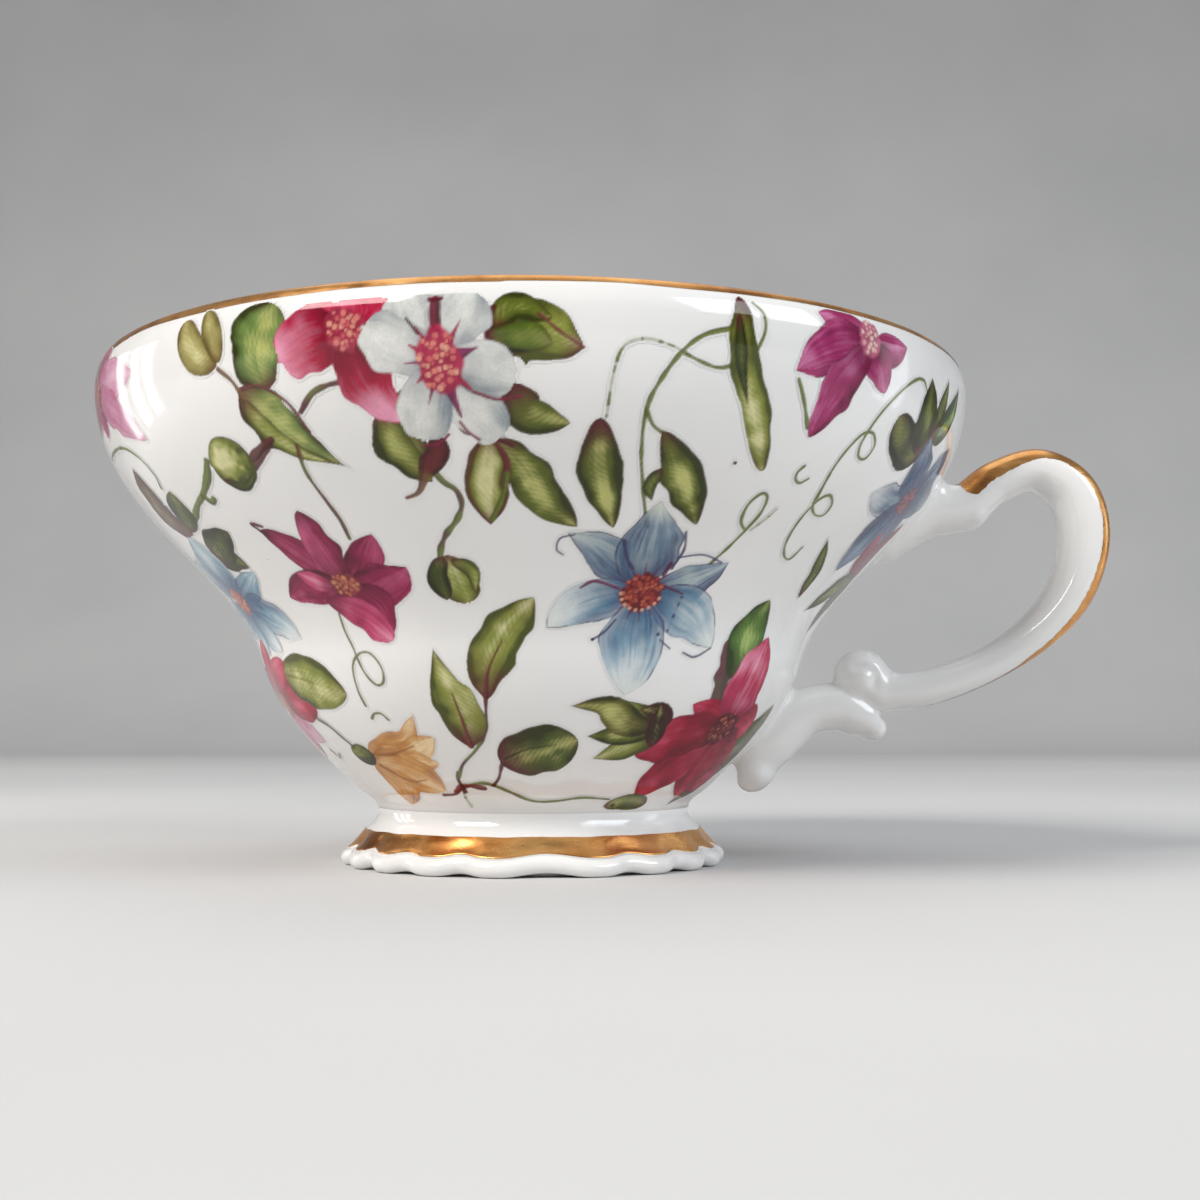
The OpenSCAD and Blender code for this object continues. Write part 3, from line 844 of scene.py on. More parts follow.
def paint_front_leaves():
    """Leaves, buds and stems round the rim flowers."""
    begin("rim_leaf_pair")
    leaf([(-27.4, 52), (-28, 55.6), (-25.4, 60)], 6.6, 3, light=-0.5, full=0.5, belly=0.5,
         body=(112, 138, 72))
    leaf([(-31, 52.6), (-28.4, 49.6), (-24.4, 46.4), (-19.6, 43.5)], 5.6, 4, light=0.5, belly=0.32,
         body=(128, 144, 78), line=(108, 52, 52))
    leaf([(-30.9, 51.6), (-29.4, 48.6), (-25.8, 45.8), (-20.6, 43.8)], 2.2, 6, PALE_LEAF, belly=0.35)
    stroke([(-30.6, 52.4), (-28, 52.4), (-25, 50.6), (-23.2, 47.6)], 0.36, (110, 60, 60), 5)
    stroke([(-33.4, 44.6), (-31.6, 45.4), (-29.4, 46.9)], 0.8, (100, 40, 40), 5)
    begin("hooked_leaf")
    stroke([(-9.4, 43.2), (-8.2, 41.6), (-6.8, 40.6), (-6.4, 39), (-7.4, 37.2), (-9.2, 35.6), (-10.6, 33.8),
            (-11.2, 32)], 0.62, OLIVE, 4, other=(92, 66, 36))
    leaf([(-11.4, 51), (-10.9, 46.6), (-9.2, 42.4)], 3, 8, DARK_LEAF, root=0.9, body=(96, 84, 44),
         base=(130, 84, 84))
    leaf([(-8, 47), (-8.4, 44.6), (-10.8, 41.4)], 2.3, 9, BROWN_LEAF, body=(110, 40, 40))
    leaf([(-13.8, 49), (-13.2, 45.6), (-9.6, 41.6)], 4, 7, LEAF, light=0.3, full=0.55, belly=0.42,
         body=(116, 122, 48), base=(110, 60, 60))
    stroke([(-9.8, 44), (-10.8, 41.6), (-11.8, 40.4), (-13.4, 39.9)], 1.2, (104, 34, 40), 9,
           other=(120, 80, 50), taper=0.3)
    begin("open_leaf_pair")
    rolled = {"rim": 0.9, "glow": 0.7, "dark": (88, 62, 30), "line": (104, 34, 42), "hatch": 0.1}
    leaf([(-1.4, 46.4), (1.8, 43), (4.6, 39.4), (8.8, 36.3)], 4.2, 2, light=-0.4, belly=0.5)
    leaf([(-2, 46.4), (-2.9, 41.4), (-2.9, 36.5)], 4.6, 11, PALE_LEAF, belly=0.46, tip_share=0.9, **rolled)
    stroke([(-1.9, 46.4), (-0.4, 43.6), (-0.8, 40.4), (-2.6, 37.2)], 0.5, (110, 40, 40), 12, other=OLIVE)
    stroke([(-5.6, 48.4), (-4.8, 46.8), (-2.4, 46.5), (0.4, 45.4)], 0.45, MAROON, 6)
    begin("rim_leaf_right")
    leaf([(-1.8, 54.9), (2, 56.2), (8, 54.7)], 6, 15, PALE_LEAF, light=0.3, belly=0.4, full=0.5,
         tip_share=0.8)
    leaf([(-1.8, 55.4), (1, 55.8), (4.8, 55)], 3.4, 16, DARK_LEAF, full=0.5, body=(90, 108, 34))
    leaf([(-1.4, 56.6), (1, 58.3), (4.8, 57.2)], 2.6, 14, light=0.4, full=0.5)
    stroke([(3.4, 57.6), (5.6, 56), (8, 54.7)], 0.3, (120, 60, 60), 8)
    stroke([(-1.8, 54.6), (-1.9, 56.2), (-1.2, 58.2)], 0.5, MAROON, 7)
    begin("small_rim_leaf")
    leaf([(0.4, 51.3), (2.4, 48.4), (6.9, 47.7)], 3.6, 16, light=0.4, root=0.95, root_length=0.3, full=0.55)
    begin("bud_low")
    leaf([(-10.2, 32.9), (-9.4, 30.2), (-7.9, 27.2)], 4.4, 17, PALE_LEAF, full=0.5, belly=0.5,
         line=(128, 84, 40))
    leaf([(-10.8, 32.7), (-12.2, 30.2), (-11.4, 27.6)], 2.2, 18, DARK_LEAF, full=0.5, belly=0.5)
    leaf([(-9.6, 32.4), (-6.8, 31), (-6.4, 28.2)], 1.8, 19, PALE_LEAF, outline=0.95)


def paint_right_stems():
    """The hanging leaves and tendrils between the rim flowers and the handle."""
    begin("hanging_leaf_left")
    stroke([(10.8, 48.4), (11.1, 52), (12, 54.8), (14.2, 55.7), (17, 55.3), (19.2, 54.5)], 0.32, OLIVE, 3,
           dotted=0.5)
    leaf([(10.2, 48.3), (10.6, 43.8), (11.9, 40.6), (13.8, 36.3)], 4.2, 20, belly=0.42, full=0.6, glow=0.7,
         rim=0.6, root=0.95, root_length=0.2)
    begin("hanging_leaf_right")
    stroke([(24.2, 57.4), (20.6, 56.4), (18, 54.4), (15.8, 51.2), (15.1, 48.6), (15.4, 45), (16.4, 41.6),
            (17.6, 38.6), (18.6, 36.6)], 0.46, OLIVE, 4)
    stroke([(15.2, 49.2), (16.2, 47.8), (17.6, 47)], 0.42, OLIVE, 5)
    leaf([(17.4, 47.3), (20.2, 44.2), (22.8, 41), (25.7, 37.1)], 4.2, 21, light=-0.5, root=0.6, belly=0.5,
         rim=0.5, glow=0.6)
    leaf([(18.4, 43.4), (17.4, 41.4), (18.2, 39.6)], 1.6, 23, DARK_LEAF)
    begin("striped_leaf")
    stroke([(26.4, 60), (27.6, 59), (27.8, 57.4), (27, 55.6)], 0.38, OLIVE, 6)
    stroke([(24.6, 54), (22.6, 53.6), (20.6, 54), (18.8, 54.6)], 0.42, OLIVE, 7)
    leaf([(24.8, 60.6), (25.4, 55.4), (28, 50.2), (31.9, 43.9)], 3.3, 24, PALE_LEAF, belly=0.5, full=0.5,
         root=0.95, root_length=0.1, light=-0.7, rise=0.3)
    leaf([(24.6, 59), (25.2, 54.4), (27, 50.2)], 1.3, 22, DARK_LEAF, outline=0.2)
    dot((27.6, 44.5), 0.22, (70, 60, 60))
    begin("tendril_small")
    stroke([(31, 32.6), (32.6, 34.6), (34, 37), (34.9, 39.2), (34.6, 41), (33.4, 41.4), (32.2, 40),
            (32.4, 38), (34, 36.8)], 0.4, OLIVE, 8)
    stroke([(34.8, 37), (36.4, 38.6), (37.2, 39.8)], 0.34, (150, 140, 90), 9, dotted=0.4)
    begin("tendril_c")
    stroke([(37.9, 45), (37.3, 44.2), (37.6, 43.4), (38.6, 43.1), (39.6, 43.7)], 0.34, OLIVE, 10)
    begin("tendril_long")
    stroke([(56, 55.2), (54.6, 56.2), (52.4, 55.8), (49.4, 54), (46.8, 51.4), (45.6, 48.6), (46.2, 47),
            (47.8, 46.9), (48.3, 48.4), (46.9, 49.6), (45, 49.2), (43.4, 47), (42.8, 44.4), (43.2, 41.6)],
           0.36, OLIVE, 11)
    stroke([(42.9, 44.6), (43, 41.2), (44.6, 39.8), (46.6, 39.8), (46.8, 41.2), (45.2, 42.2), (43.6, 41.4),
            (42.6, 39), (42.8, 36.2), (44.2, 34.4), (46.2, 33.9), (47.2, 35.6)], 0.36, OLIVE, 12)
    begin("purple_rim_flower")
    stroke([(32.8, 53.4), (34.2, 51.4), (35.8, 49)], 0.5, OLIVE, 13)
    centre = (43.2, 57.8)
    flower(centre, [
        ((35, 60.2), 3.6, PURPLE, -0.3),
        ((50.2, 58.8), 3.4, PURPLE, -0.3, {"light": 0.5}),
        ((46.6, 53.6), 4.2, PURPLE, 0.3),
        ((32.2, 54.2), 5.2, PURPLE, -0.8, {"light": -0.4}),
        ((36.5, 48), 4.4, PURPLE, -0.9, {"belly": 0.5, "light": -0.4}),
    ])
    stamens((43, 58.6), 1.4, (206, 110, 140), [(246, 222, 202), (236, 186, 176)], 12, 20, squash=1.3)


def paint_right_side():
    """What grows near the handle: dark leaves, a blue flower and a red one."""
    begin("dark_leaves")
    leaf([(60.4, 49.8), (55.4, 49), (50.8, 51.8)], 4.8, 26, DARK_LEAF, full=0.5, belly=0.5, rim=0.8,
         body=(82, 84, 42))
    leaf([(60.6, 49), (58, 52.4), (57, 56.8)], 4.6, 25, DARK_LEAF, full=0.55)
    leaf([(60.8, 51.4), (61.6, 54), (62.8, 57.6)], 2.6, 28, DARK_LEAF)
    leaf([(61, 51.2), (65, 53), (68, 57.6)], 3.8, 30, GREEN_LEAF, body=(52, 78, 34), light=-0.4)
    begin("blue_side_flower")
    centre = (66.2, 43.8)
    flower(centre, [
        ((54, 43.4), 4.8, GREY_BLUE, 0.6, {"fade": 0.6}),
        ((71.6, 51.4), 5.2, SLATE, -0.5),
        ((61.4, 51), 5.4, SLATE, 0.5),
        ((78.6, 44.6), 5, SLATE, 0.6),
        ((62.2, 33.4), 6.2, SLATE, -0.5),
        ((71.4, 34.4), 5.6, SLATE, 0.4),
    ])
    stamens(centre, 1.7, (96, 24, 52), [(160, 70, 100), (184, 100, 104)], 14, 22)
    begin("magenta_side_bud")
    leaf([(75.4, 33), (72.6, 37.4), (75, 41.6)], 3.4, 31, DEEP_PINK, belly=0.5)
    leaf([(75, 33), (69.4, 35.4), (67.4, 39.6)], 3.6, 32, DEEP_PINK, belly=0.5)
    leaf([(76, 32.8), (69.6, 31.6), (62.4, 27.8)], 3.6, 33, DARK_LEAF)
    leaf([(76, 32.6), (73, 29.2), (71.6, 25.4)], 3.2, 34, DARK_LEAF)
    begin("spindle_leaf")
    leaf([(56.4, 29.2), (55.2, 33.2), (51.6, 37.2)], 2, 35, DARK_LEAF)
    begin("red_clematis")
    stroke([(45, 15.4), (43, 18.8), (42.6, 22.8)], 3.2, (84, 58, 38), 14, other=MAROON, taper=0.5)
    leaf([(50.2, 20), (46.6, 23), (48.2, 28.6)], 5.8, 36, GREEN_LEAF, light=-0.4, full=0.55, belly=0.42)
    leaf([(57, 3.6), (64, 9), (69.6, 16.4)], 6.6, 37, DARK_LEAF, full=0.55, body=(84, 84, 38))
    leaf([(67, 6.4), (61.5, 3.4), (56.4, 0.6)], 3, 27, DARK_LEAF, body=(84, 60, 40))
    centre = (50.8, 13)
    wide = {"full": 0.55, "belly": 0.55}
    pointed = {"full": 0.7, "belly": 0.47}
    dot(centre, 4, (110, 12, 38))
    # the red petals below are a deeper red with painted shade added, for the shaded side by the handle
    flower(centre, [
        ((62.6, 12.4), 6, SHADED_DEEP_RED, 0.5, {"light": 0.3, **wide}),
        ((37.4, 16.2), 4, SHADED_DEEP_RED, -0.4),
        ((64.4, 3.2), 6.8, SHADED_DEEP_RED, 0.6, wide),
        ((55.4, 2.2), 6.2, SHADED_DEEP_RED, 0.3, pointed),
        ((36.2, 2.4), 6.6, SHADED_DEEP_RED, -0.5, {"light": 0.4, **pointed}),
        ((27.6, 9.6), 6.2, SHADED_DEEP_RED, -0.6, {"light": -0.4, **wide}),
        ((53.6, 24.2), 6.8, PINK, 0.3, {"light": 0.4, "body": (190, 48, 86), "full": 0.8, "belly": 0.48}),
    ])
    stamens(centre, 2, (96, 16, 34), [(160, 60, 56), (186, 104, 80), (122, 52, 40)], 15, 34)
    begin("leaf_spray")
    dark = (48, 40, 20)
    leaf([(31.4, 13), (25, 10.6), (17.4, 8.7)], 4.2, 40, PALE_LEAF, light=0.3, base=dark, root_length=0.3)
    leaf([(31.4, 13.4), (25.4, 14.6), (21, 16.7)], 3.2, 42, PALE_LEAF, base=dark, root_length=0.35)
    leaf([(31.2, 13.4), (23, 12.2), (14.6, 12)], 3.6, 39, light=-0.4, base=dark, root_length=0.35)
    leaf([(31.4, 13.8), (24, 13.6), (17.6, 15.9), (10.2, 15.9)], 3.4, 38, light=0.4, base=dark,
         root_length=0.3, body=(110, 108, 44))
    leaf([(31.8, 12.6), (29.6, 15), (25, 15.6)], 3, 41, BROWN_LEAF, body=(60, 40, 24), outline=0.3)
    blade([(31.6, 10.4), (30.6, 13), (29.6, 16)], 2.4, 43, BROWN_LEAF, body=dark, outline=0.2)
    begin("foot_leaf")
    leaf([(26.8, 0.8), (33.6, 1.8), (43.6, 1.1)], 2.8, 42, PALE_LEAF, full=0.6, belly=0.5, tip_share=0.8)
    dot((30, 1), 0.3, (60, 70, 20))


def paint_low_sprig():
    """The sprig that climbs from the foot, and the ochre bell beside it."""
    begin("low_sprig")
    stroke([(-25, 3), (-21, 3.2), (-17.6, 4.2), (-12, 5), (-8, 4.6), (-3, 3.4), (3, 2), (10, 2), (18, 2.6),
            (27, 2.2)], 0.5, OLIVE, 17, other=(120, 60, 44))
    stroke([(-20.4, 3.6), (-17, 4.6), (-11.4, 4.2)], 0.7, (128, 48, 50), 18)
    stroke([(-17.6, 4.4), (-18.2, 2.4), (-17.8, 0.9)], 0.34, OLIVE, 19, dotted=0.5)
    stroke([(-17.4, 3.6), (-18, 5.6), (-17.2, 6.8)], 0.5, MAROON, 20, taper=0.5)
    stroke([(-17.6, 5.8), (-15, 7.9), (-10.4, 10.2), (-7.4, 12.8), (-6.4, 17)], 0.42, OLIVE, 21,
           other=MAROON)
    stroke([(-8.4, 4.6), (-6.4, 5.8), (-5, 7.8), (-3.8, 9)], 0.42, OLIVE, 22, other=MAROON)
    leaf([(-11.5, 10.4), (-11.9, 14.8), (-14.2, 18.4), (-15.6, 22.3)], 5, 43, PALE_LEAF, light=-0.7,
         root=0.95, root_length=0.22)
    stroke([(-11.5, 10.6), (-12, 14), (-13, 17.4)], 0.6, (120, 52, 48), 23, taper=0.2)
    leaf([(-6.4, 16.6), (-5.6, 20.4), (-2.2, 23.8), (2.9, 27.8)], 4.8, 44, PALE_LEAF, light=0.2, root=0.95,
         root_length=0.24, belly=0.5, rim=0.6)
    stroke([(-6.4, 17), (-5.4, 20), (-2.6, 23.2)], 0.55, (110, 50, 46), 24, taper=0.2)
    begin("round_leaf")
    leaf([(-5, 8), (12.8, 11.6)], 7, 45, light=-0.2, full=0.5, belly=0.46, root=0.95, bend=0.2,
         root_length=0.3, body=(84, 98, 36), wave=0.16)
    stroke([(-4, 8.8), (1.6, 10.2), (8, 10.8)], 0.4, (60, 44, 24), 25, taper=0.2)
    begin("ochre_bell")
    stroke([(-53, 14.4), (-50, 13.4), (-47.4, 11.4), (-45.4, 10)], 0.6, (132, 128, 104), 26)
    blade([(-42.6, 8), (-38.6, 4.6), (-42.4, 0.9)], 4.4, 51, OCHRE, light=-0.3)
    blade([(-42.6, 9), (-32, 10.8), (-27, 11.6), (-22.8, 14.8)], 3.6, 52, OCHRE, light=0.4, belly=0.4)
    blade([(-42, 8.8), (-30, 9.4), (-19.8, 11.8)], 3.6, 50, OCHRE, belly=0.5)
    blade([(-42, 8.8), (-30, 8.2), (-21.6, 8)], 4.2, 53, OCHRE, belly=0.5)
    blade([(-43.2, 8.4), (-33, 6.8), (-23.8, 3.6)], 6.4, 54, OCHRE, belly=0.5, light=-0.3)
    stroke([(-40, 9.4), (-34, 9.4), (-26, 10.6)], 0.6, (172, 106, 48), 27, taper=0.3)
    stroke([(-41, 7.6), (-34, 5.2), (-28, 5.4)], 0.5, (172, 106, 48), 28, taper=0.3)
    bud((-44.6, 9.2), 1.7, 46, DARK_LEAF)


def paint_left_side():
    """What grows on the side away from the handle."""
    begin("round_bud")
    stroke([(-53, 40), (-49.6, 41.4), (-46, 42.6), (-42.6, 44.4), (-41, 46)], 0.95, OLIVE, 29)
    stroke([(-46.4, 42.4), (-45.4, 41.5), (-44.4, 41.8)], 0.7, OLIVE, 30)
    stroke([(-33.4, 45.4), (-31, 46.4), (-28.8, 47.2)], 0.9, (92, 38, 34), 31)
    bud((-36.9, 45.3), 3, 47, PALE_LEAF, line=(78, 60, 30))
    leaf([(-40, 43.8), (-36.6, 42.6), (-33.6, 44)], 1.2, 48, DARK_LEAF, outline=0.2)
    begin("yellow_leaf")
    stroke([(-33.6, 54.6), (-31.8, 53.2), (-30.8, 51.4)], 0.5, (120, 84, 50), 32)
    dry = {"body": (168, 158, 98), "dark": (112, 98, 50), "base": (110, 80, 46), "tip": (120, 96, 54)}
    leaf([(-33.6, 55.2), (-37, 56.4), (-38.6, 60)], 3.8, 49, PALE_LEAF, full=0.5, belly=0.5, **dry)
    leaf([(-33.4, 55.2), (-34, 58), (-35.2, 60.6)], 2.6, 50, PALE_LEAF, full=0.5, belly=0.5, **dry)
    begin("pink_rim_flower")
    stroke([(-72, 50.2), (-66, 50.3), (-60.4, 49.9), (-56.6, 48.2), (-55.2, 46), (-56, 44.4)], 0.4, OLIVE,
           33)
    centre = (-65.4, 56.6)
    flower(centre, [
        ((-58, 60.4), 4.4, MAGENTA, 0.3),
        ((-73.6, 60), 4.8, MAGENTA, -0.3),
        ((-78, 54.6), 4.8, MAGENTA, 0.4),
        ((-66, 51.8), 4.8, PURPLE, 0.4),
        ((-50.4, 56.6), 4.6, PALE_PINK, 0.4),
        ((-51.4, 49.6), 4.6, PALE_PINK, 0.5),
    ])
    stamens(centre, 1.7, (120, 16, 50), [(226, 150, 120), (206, 96, 90)], 18, 24)
    begin("brown_bud")
    leaf([(-58, 38.4), (-62.6, 42), (-61.6, 47.6)], 5, 55, BROWN_LEAF, belly=0.5)
    leaf([(-58, 38.6), (-55.4, 41.4), (-54, 43.8)], 4.4, 56, DARK_LEAF, belly=0.5)
    leaf([(-57.2, 34.8), (-52, 34.4), (-49, 33)], 4, 58, DARK_LEAF, full=0.55)
    leaf([(-57.2, 35), (-52.6, 36.4), (-47, 37.8)], 4.8, 57, DARK_LEAF, root=0.95, full=0.55)
    begin("blue_left_flower")
    centre = (-63.6, 29.2)
    flower(centre, [
        ((-73.6, 35.4), 5, CLEAR_BLUE, -0.4),
        ((-76, 26), 5, CLEAR_BLUE, 0.4),
        ((-61.2, 38.4), 7.4, CLEAR_BLUE, -0.3, {"fade": 0.1, "rise": 0.3}),
        ((-48.8, 32.4), 3.6, CLEAR_BLUE, -0.4, {"fade": 0.1, "rise": 0.3}),
        ((-66.4, 21.4), 4.4, CLEAR_BLUE, 0.2),
        ((-46.6, 24), 5, CLEAR_BLUE, 0.6, {"light": -0.5}),
        ((-55.4, 22.6), 3.8, CLEAR_BLUE, -0.5),
    ], eye=0.12)
    stamens(centre, 1.7, (150, 50, 44), [(232, 140, 104), (214, 100, 80)], 19, 24)
    begin("red_left_flower")
    stroke([(-60.4, 9.8), (-58.8, 8.6), (-56.8, 9.2)], 0.34, OLIVE, 34)
    centre = (-69, 16.4)
    flower(centre, [
        ((-84, 19.4), 5.6, RED, -0.4),
        ((-78, 8.4), 5.4, RED, 0.4),
        ((-66, 24.4), 5.2, RED, 0.4, {"light": 0.4}),
        ((-54.8, 20.8), 5.2, RED, 0.6, {"light": 0.4}),
        ((-58.6, 11.2), 5, PALE_PINK, -0.4, {"base": (190, 60, 90)}),
        ((-50.8, 15.6), 4.6, RED, 0.2, {"light": 0.5, "belly": 0.5}),
    ], eye=0.12)
    stamens(centre, 1.6, (120, 14, 36), [(222, 150, 90), (190, 80, 60)], 20, 22)
    begin("low_left_leaf")
    leaf([(-58, 20), (-37.8, 17.4)], 6.6, 59, PALE_LEAF, full=0.5, belly=0.45, bend=0.3, wave=0.2, root=0.4,
         light=-0.5, rib=0.5, rim=0.6)


def paint_seam():
    """What fills the side away from the handle, where the two repeats meet."""
    begin("seam_leaves")
    stroke([(-89, 3), (-92.6, 6.4), (-93.4, 10.8), (-91, 15.6), (-92.4, 20.8), (-96, 25.6)], 0.46, OLIVE,
           41, other=MAROON)
    leaf([(-93.2, 9.6), (-98.4, 11.6), (-102.4, 15.8)], 4.4, 61, light=0.4, belly=0.46)
    leaf([(-92.6, 20.2), (-88.6, 23.6), (-87.4, 29)], 4.4, 62, PALE_LEAF, light=-0.4, belly=0.46)
    leaf([(-96, 25.4), (-99, 28.6), (-97.8, 33.4)], 3.6, 63, belly=0.46)
    begin("seam_tendril")
    stroke([(-93.4, 47.4), (-90.6, 43), (-91.6, 38.6), (-94.4, 37.4), (-95.6, 39.4), (-93.6, 40.8),
            (-90.4, 38.8), (-88.2, 34.8)], 0.36, OLIVE, 42)
    stroke([(-92.4, 45.4), (-95.6, 44.6), (-98, 42.6)], 0.4, OLIVE, 43)
    leaf([(-97.8, 42.8), (-101.4, 40.6), (-103.4, 36.4)], 3.4, 64, GREEN_LEAF, belly=0.46)
    leaf([(-92.8, 46.6), (-88.4, 44.6), (-83.6, 43.2)], 3.8, 65, DARK_LEAF, belly=0.46)
    begin("seam_flower")
    centre = (-94.6, 53.2)
    flower(centre, [
        ((-100.6, 57.4), 3.8, RED_TO_PALE, 0.3),
        ((-94.4, 60), 4.2, RED_TO_PALE, 0.2),
        ((-87.6, 56.8), 4, RED_TO_PALE, -0.3),
        ((-89.2, 49), 4.2, RED_TO_PALE, 0.3),
        ((-98.4, 47.2), 4.2, RED_TO_PALE, -0.3),
        ((-102.6, 52), 3.8, RED_TO_PALE, 0.3),
    ])
    stamens(centre, 1.5, (120, 16, 50), [(226, 150, 120), (206, 96, 90)], 21, 20)


def print_piece(number, name):
    """One painted group as a thin piece on the bowl, cut along the cells that it owns."""
    claim = np.where(cover > BARE, owner, -1)
    below = np.vstack([claim[1:], np.full((1, COLUMNS), -1)])
    cell = np.maximum.reduce([claim, below, np.roll(claim, -1, 1), np.roll(below, -1, 1)])
    cell[-1] = -1
    rows, columns = np.nonzero(cell == number)
    low, high, following = rows * COLUMNS, (rows + 1) * COLUMNS, (columns + 1) % COLUMNS
    corners = np.stack([low + columns, low + following, high + following, high + columns], -1)
    used, faces = np.unique(corners, return_inverse=True)
    row, column = used // COLUMNS, used % COLUMNS
    r, z = wall_at(PRINT_S, LIFT)
    theta = np.radians(column * CELL_ROUND - 180)
    points = around(theta, r[row], z[row])
    middle = np.angle(np.exp(1j * theta).mean())
    uv = np.stack([np.angle(np.exp(1j * (theta - middle))) * PRINT_R[row], PRINT_S[row]], -1)
    uv = (uv - uv.min(0)) / (uv.max(0) - uv.min(0)).max()
    paint = np.concatenate([ink[row, column], cover[row, column][:, None]], 1)
    add_piece(name, points, faces.reshape(-1, 4).tolist(), ENAMEL, uv, ["floral_transfer"],
              paint)


def build_print():
    """The whole print: the sheet's pattern is laid twice, on the front and on the back."""
    for paint in (paint_low_sprig, paint_front_leaves, paint_right_stems, paint_rim_flowers,
                  paint_magenta_clematis, paint_left_side, paint_right_side, paint_blue_clematis):
        paint()
    back_ink, back_cover, back_owner = [np.roll(a, COLUMNS // 2, 1) for a in (ink, cover, owner)]
    free = (cover < BARE) & (back_cover > BARE)
    ink[free], cover[free] = back_ink[free], back_cover[free]
    owner[free] = back_owner[free] + len(groups)
    groups[:] = [group + side for side in ("_front", "_back") for group in groups]
    paint_seam()
    for number, name in enumerate(groups):
        print_piece(number, name)


# ---------------------------------------------------------------- handle

# Stations along the loop, from the upper root over the top and down to the scroll:
# x, z, thickness in the loop's plane, width across it
LOOP = [(41.6, 40.8, 10.4, 7.2), (47, 41.9, 6.8, 7.2), (51.6, 42.4, 5.6, 7.4), (55.4, 45.2, 5.2, 7.8),
        (60.4, 46.7, 5, 8.2), (64.6, 44.0, 5.5, 8.6), (65.9, 38.6, 5.7, 8.6), (64.1, 32.2, 5.4, 8.6),
        (60, 27.3, 4.7, 8.2), (54, 23.3, 4.2, 7.8), (47, 20.7, 4.5, 7.4), (41.5, 20, 4.6, 6.6)]
# Stations along the lower bracket, from its toe on the bowl to the spur
BRACKET = [(25.6, 9.7, 2.6, 5), (26.2, 11, 4.6, 6), (28, 14, 6.2, 7.2), (32.2, 17.6, 5.8, 7),
           (36.2, 18.3, 5.6, 6.8), (39.0, 17.1, 4.8, 6.2), (40.4, 15.9, 3.2, 5.0)]
# Swellings where the loop meets the bowl, on its underside, at the bracket's toe and in the scroll:
# (x, z), radius in the loop's plane, half width across it
BALLS = [((47.6, 43.4), 2.5, 3.4), ((52.5, 41.4), 1.7, 3.2), ((26.4, 10.4), 2, 3.2),
         ((39.1, 21.9), 3.3, 3.9)]
CELL = 0.25  # spacing of the grid on which the handle's surface is found
RELAX_ROUNDS = 14


def path_along(stations, k):
    """The stations' numbers at positions k along them, and the path's direction there."""
    path = curve_through(stations, k)
    slope = np.gradient(path[:, :2], axis=0)
    return path, slope / np.linalg.norm(slope, axis=1)[:, None]


def strap_distance(x, z, y, stations, squareness, hollow=0.0):
    """Rough distance from grid points to a strap swept along stations; below zero is inside."""
    path, slope = path_along(stations, np.linspace(0, len(stations) - 1, 40 * len(stations)))
    places = np.stack([x.ravel(), z.ravel()], -1)
    nearest = np.array([np.argmin(((path[:, :2] - place) ** 2).sum(1)) for place in places])
    away = places - path[nearest, :2]
    along = (away * slope[nearest]).sum(1)
    side = away[:, 1] * slope[nearest, 0] - away[:, 0] * slope[nearest, 1]
    side = np.sign(side) * np.hypot(side, along)
    half, wide = path[nearest, 2] / 2, path[nearest, 3] / 2
    side, half, wide = [row.reshape(*x.shape, 1) for row in (side, half, wide)]
    half = np.where(side > 0, half * (1 - hollow * bell(y / wide, 0.45)), half)
    power = np.where(side > 0, squareness, 2.2)
    gauge = ((np.abs(side) / half) ** power + (np.abs(y) / wide) ** power + 1e-9) ** (1 / power)
    return np.sqrt(side ** 2 + y ** 2 + 1e-9) * (1 - 1 / gauge)


def ball_distance(x, z, y, at, radius, width):
    """Rough distance to an ellipsoid centred on the handle's plane."""
    away = np.hypot(x - at[0], z - at[1])[:, :, None]
    gauge = np.sqrt((away / radius) ** 2 + (y / width) ** 2 + 1e-9)
    return np.sqrt(away ** 2 + y ** 2 + 1e-9) * (1 - 1 / gauge)


def blend_min(a, b, radius):
    """Union of two distances with a soft fillet."""
    h = np.clip(0.5 + 0.5 * (b - a) / radius, 0, 1)
    return b * (1 - h) + a * h - radius * h * (1 - h)


def handle_field():
    """The handle as one distance field on a grid, with its roots flowing on to the bowl's wall."""
    x = np.arange(20, 71, CELL)
    z = np.arange(6, 52, CELL)
    y = np.arange(-6, 6 + CELL / 2, CELL)
    gx, gz = np.meshgrid(x, z, indexing="ij")
    loop = strap_distance(gx, gz, y, LOOP, 2.6, hollow=0.05)
    bracket = strap_distance(gx, gz, y, BRACKET, 2.2)
    root, drop, toe, knob = [ball_distance(gx, gz, y, *ball) for ball in BALLS]
    body = blend_min(blend_min(loop, root, 1.0), drop, 0.8)
    body = blend_min(body, knob, 1.4)
    body = blend_min(body, blend_min(bracket, toe, 1.0), 0.7)
    # the scroll's groove winds round a small boss on each face of the knob
    boss_x, boss_z, boss_r = 38.8, 21.2, 1.35
    angle = np.arctan2(gz - boss_z, gx - boss_x)
    swirl = np.abs(np.hypot(gx - boss_x, gz - boss_z) - boss_r - 0.25 * angle)
    groove = 0.4 * bell(swirl, 0.6) * smoothstep(-0.9, 0.1, angle) * (1 - smoothstep(1.9, 2.6, angle))
    body = body + groove[:, :, None] * smoothstep(1.5, 3.0, np.abs(y))
    height = np.broadcast_to(gz[:, :, None], body.shape)
    slope = radius_at_height(height + 0.5) - radius_at_height(height - 0.5)
    bowl = (np.hypot(gx[:, :, None], y) - radius_at_height(height)) / np.sqrt(1 + slope ** 2)
    joined = blend_min(body, bowl + 0.05, 1.1)
    reach = 1.6  # how far the fillets spread over the wall
    sunk = 0.7  # how deep the roots go into it
    return (x, y, z), np.maximum(np.maximum(joined, -(bowl + sunk)), body - reach).transpose(0, 2, 1)


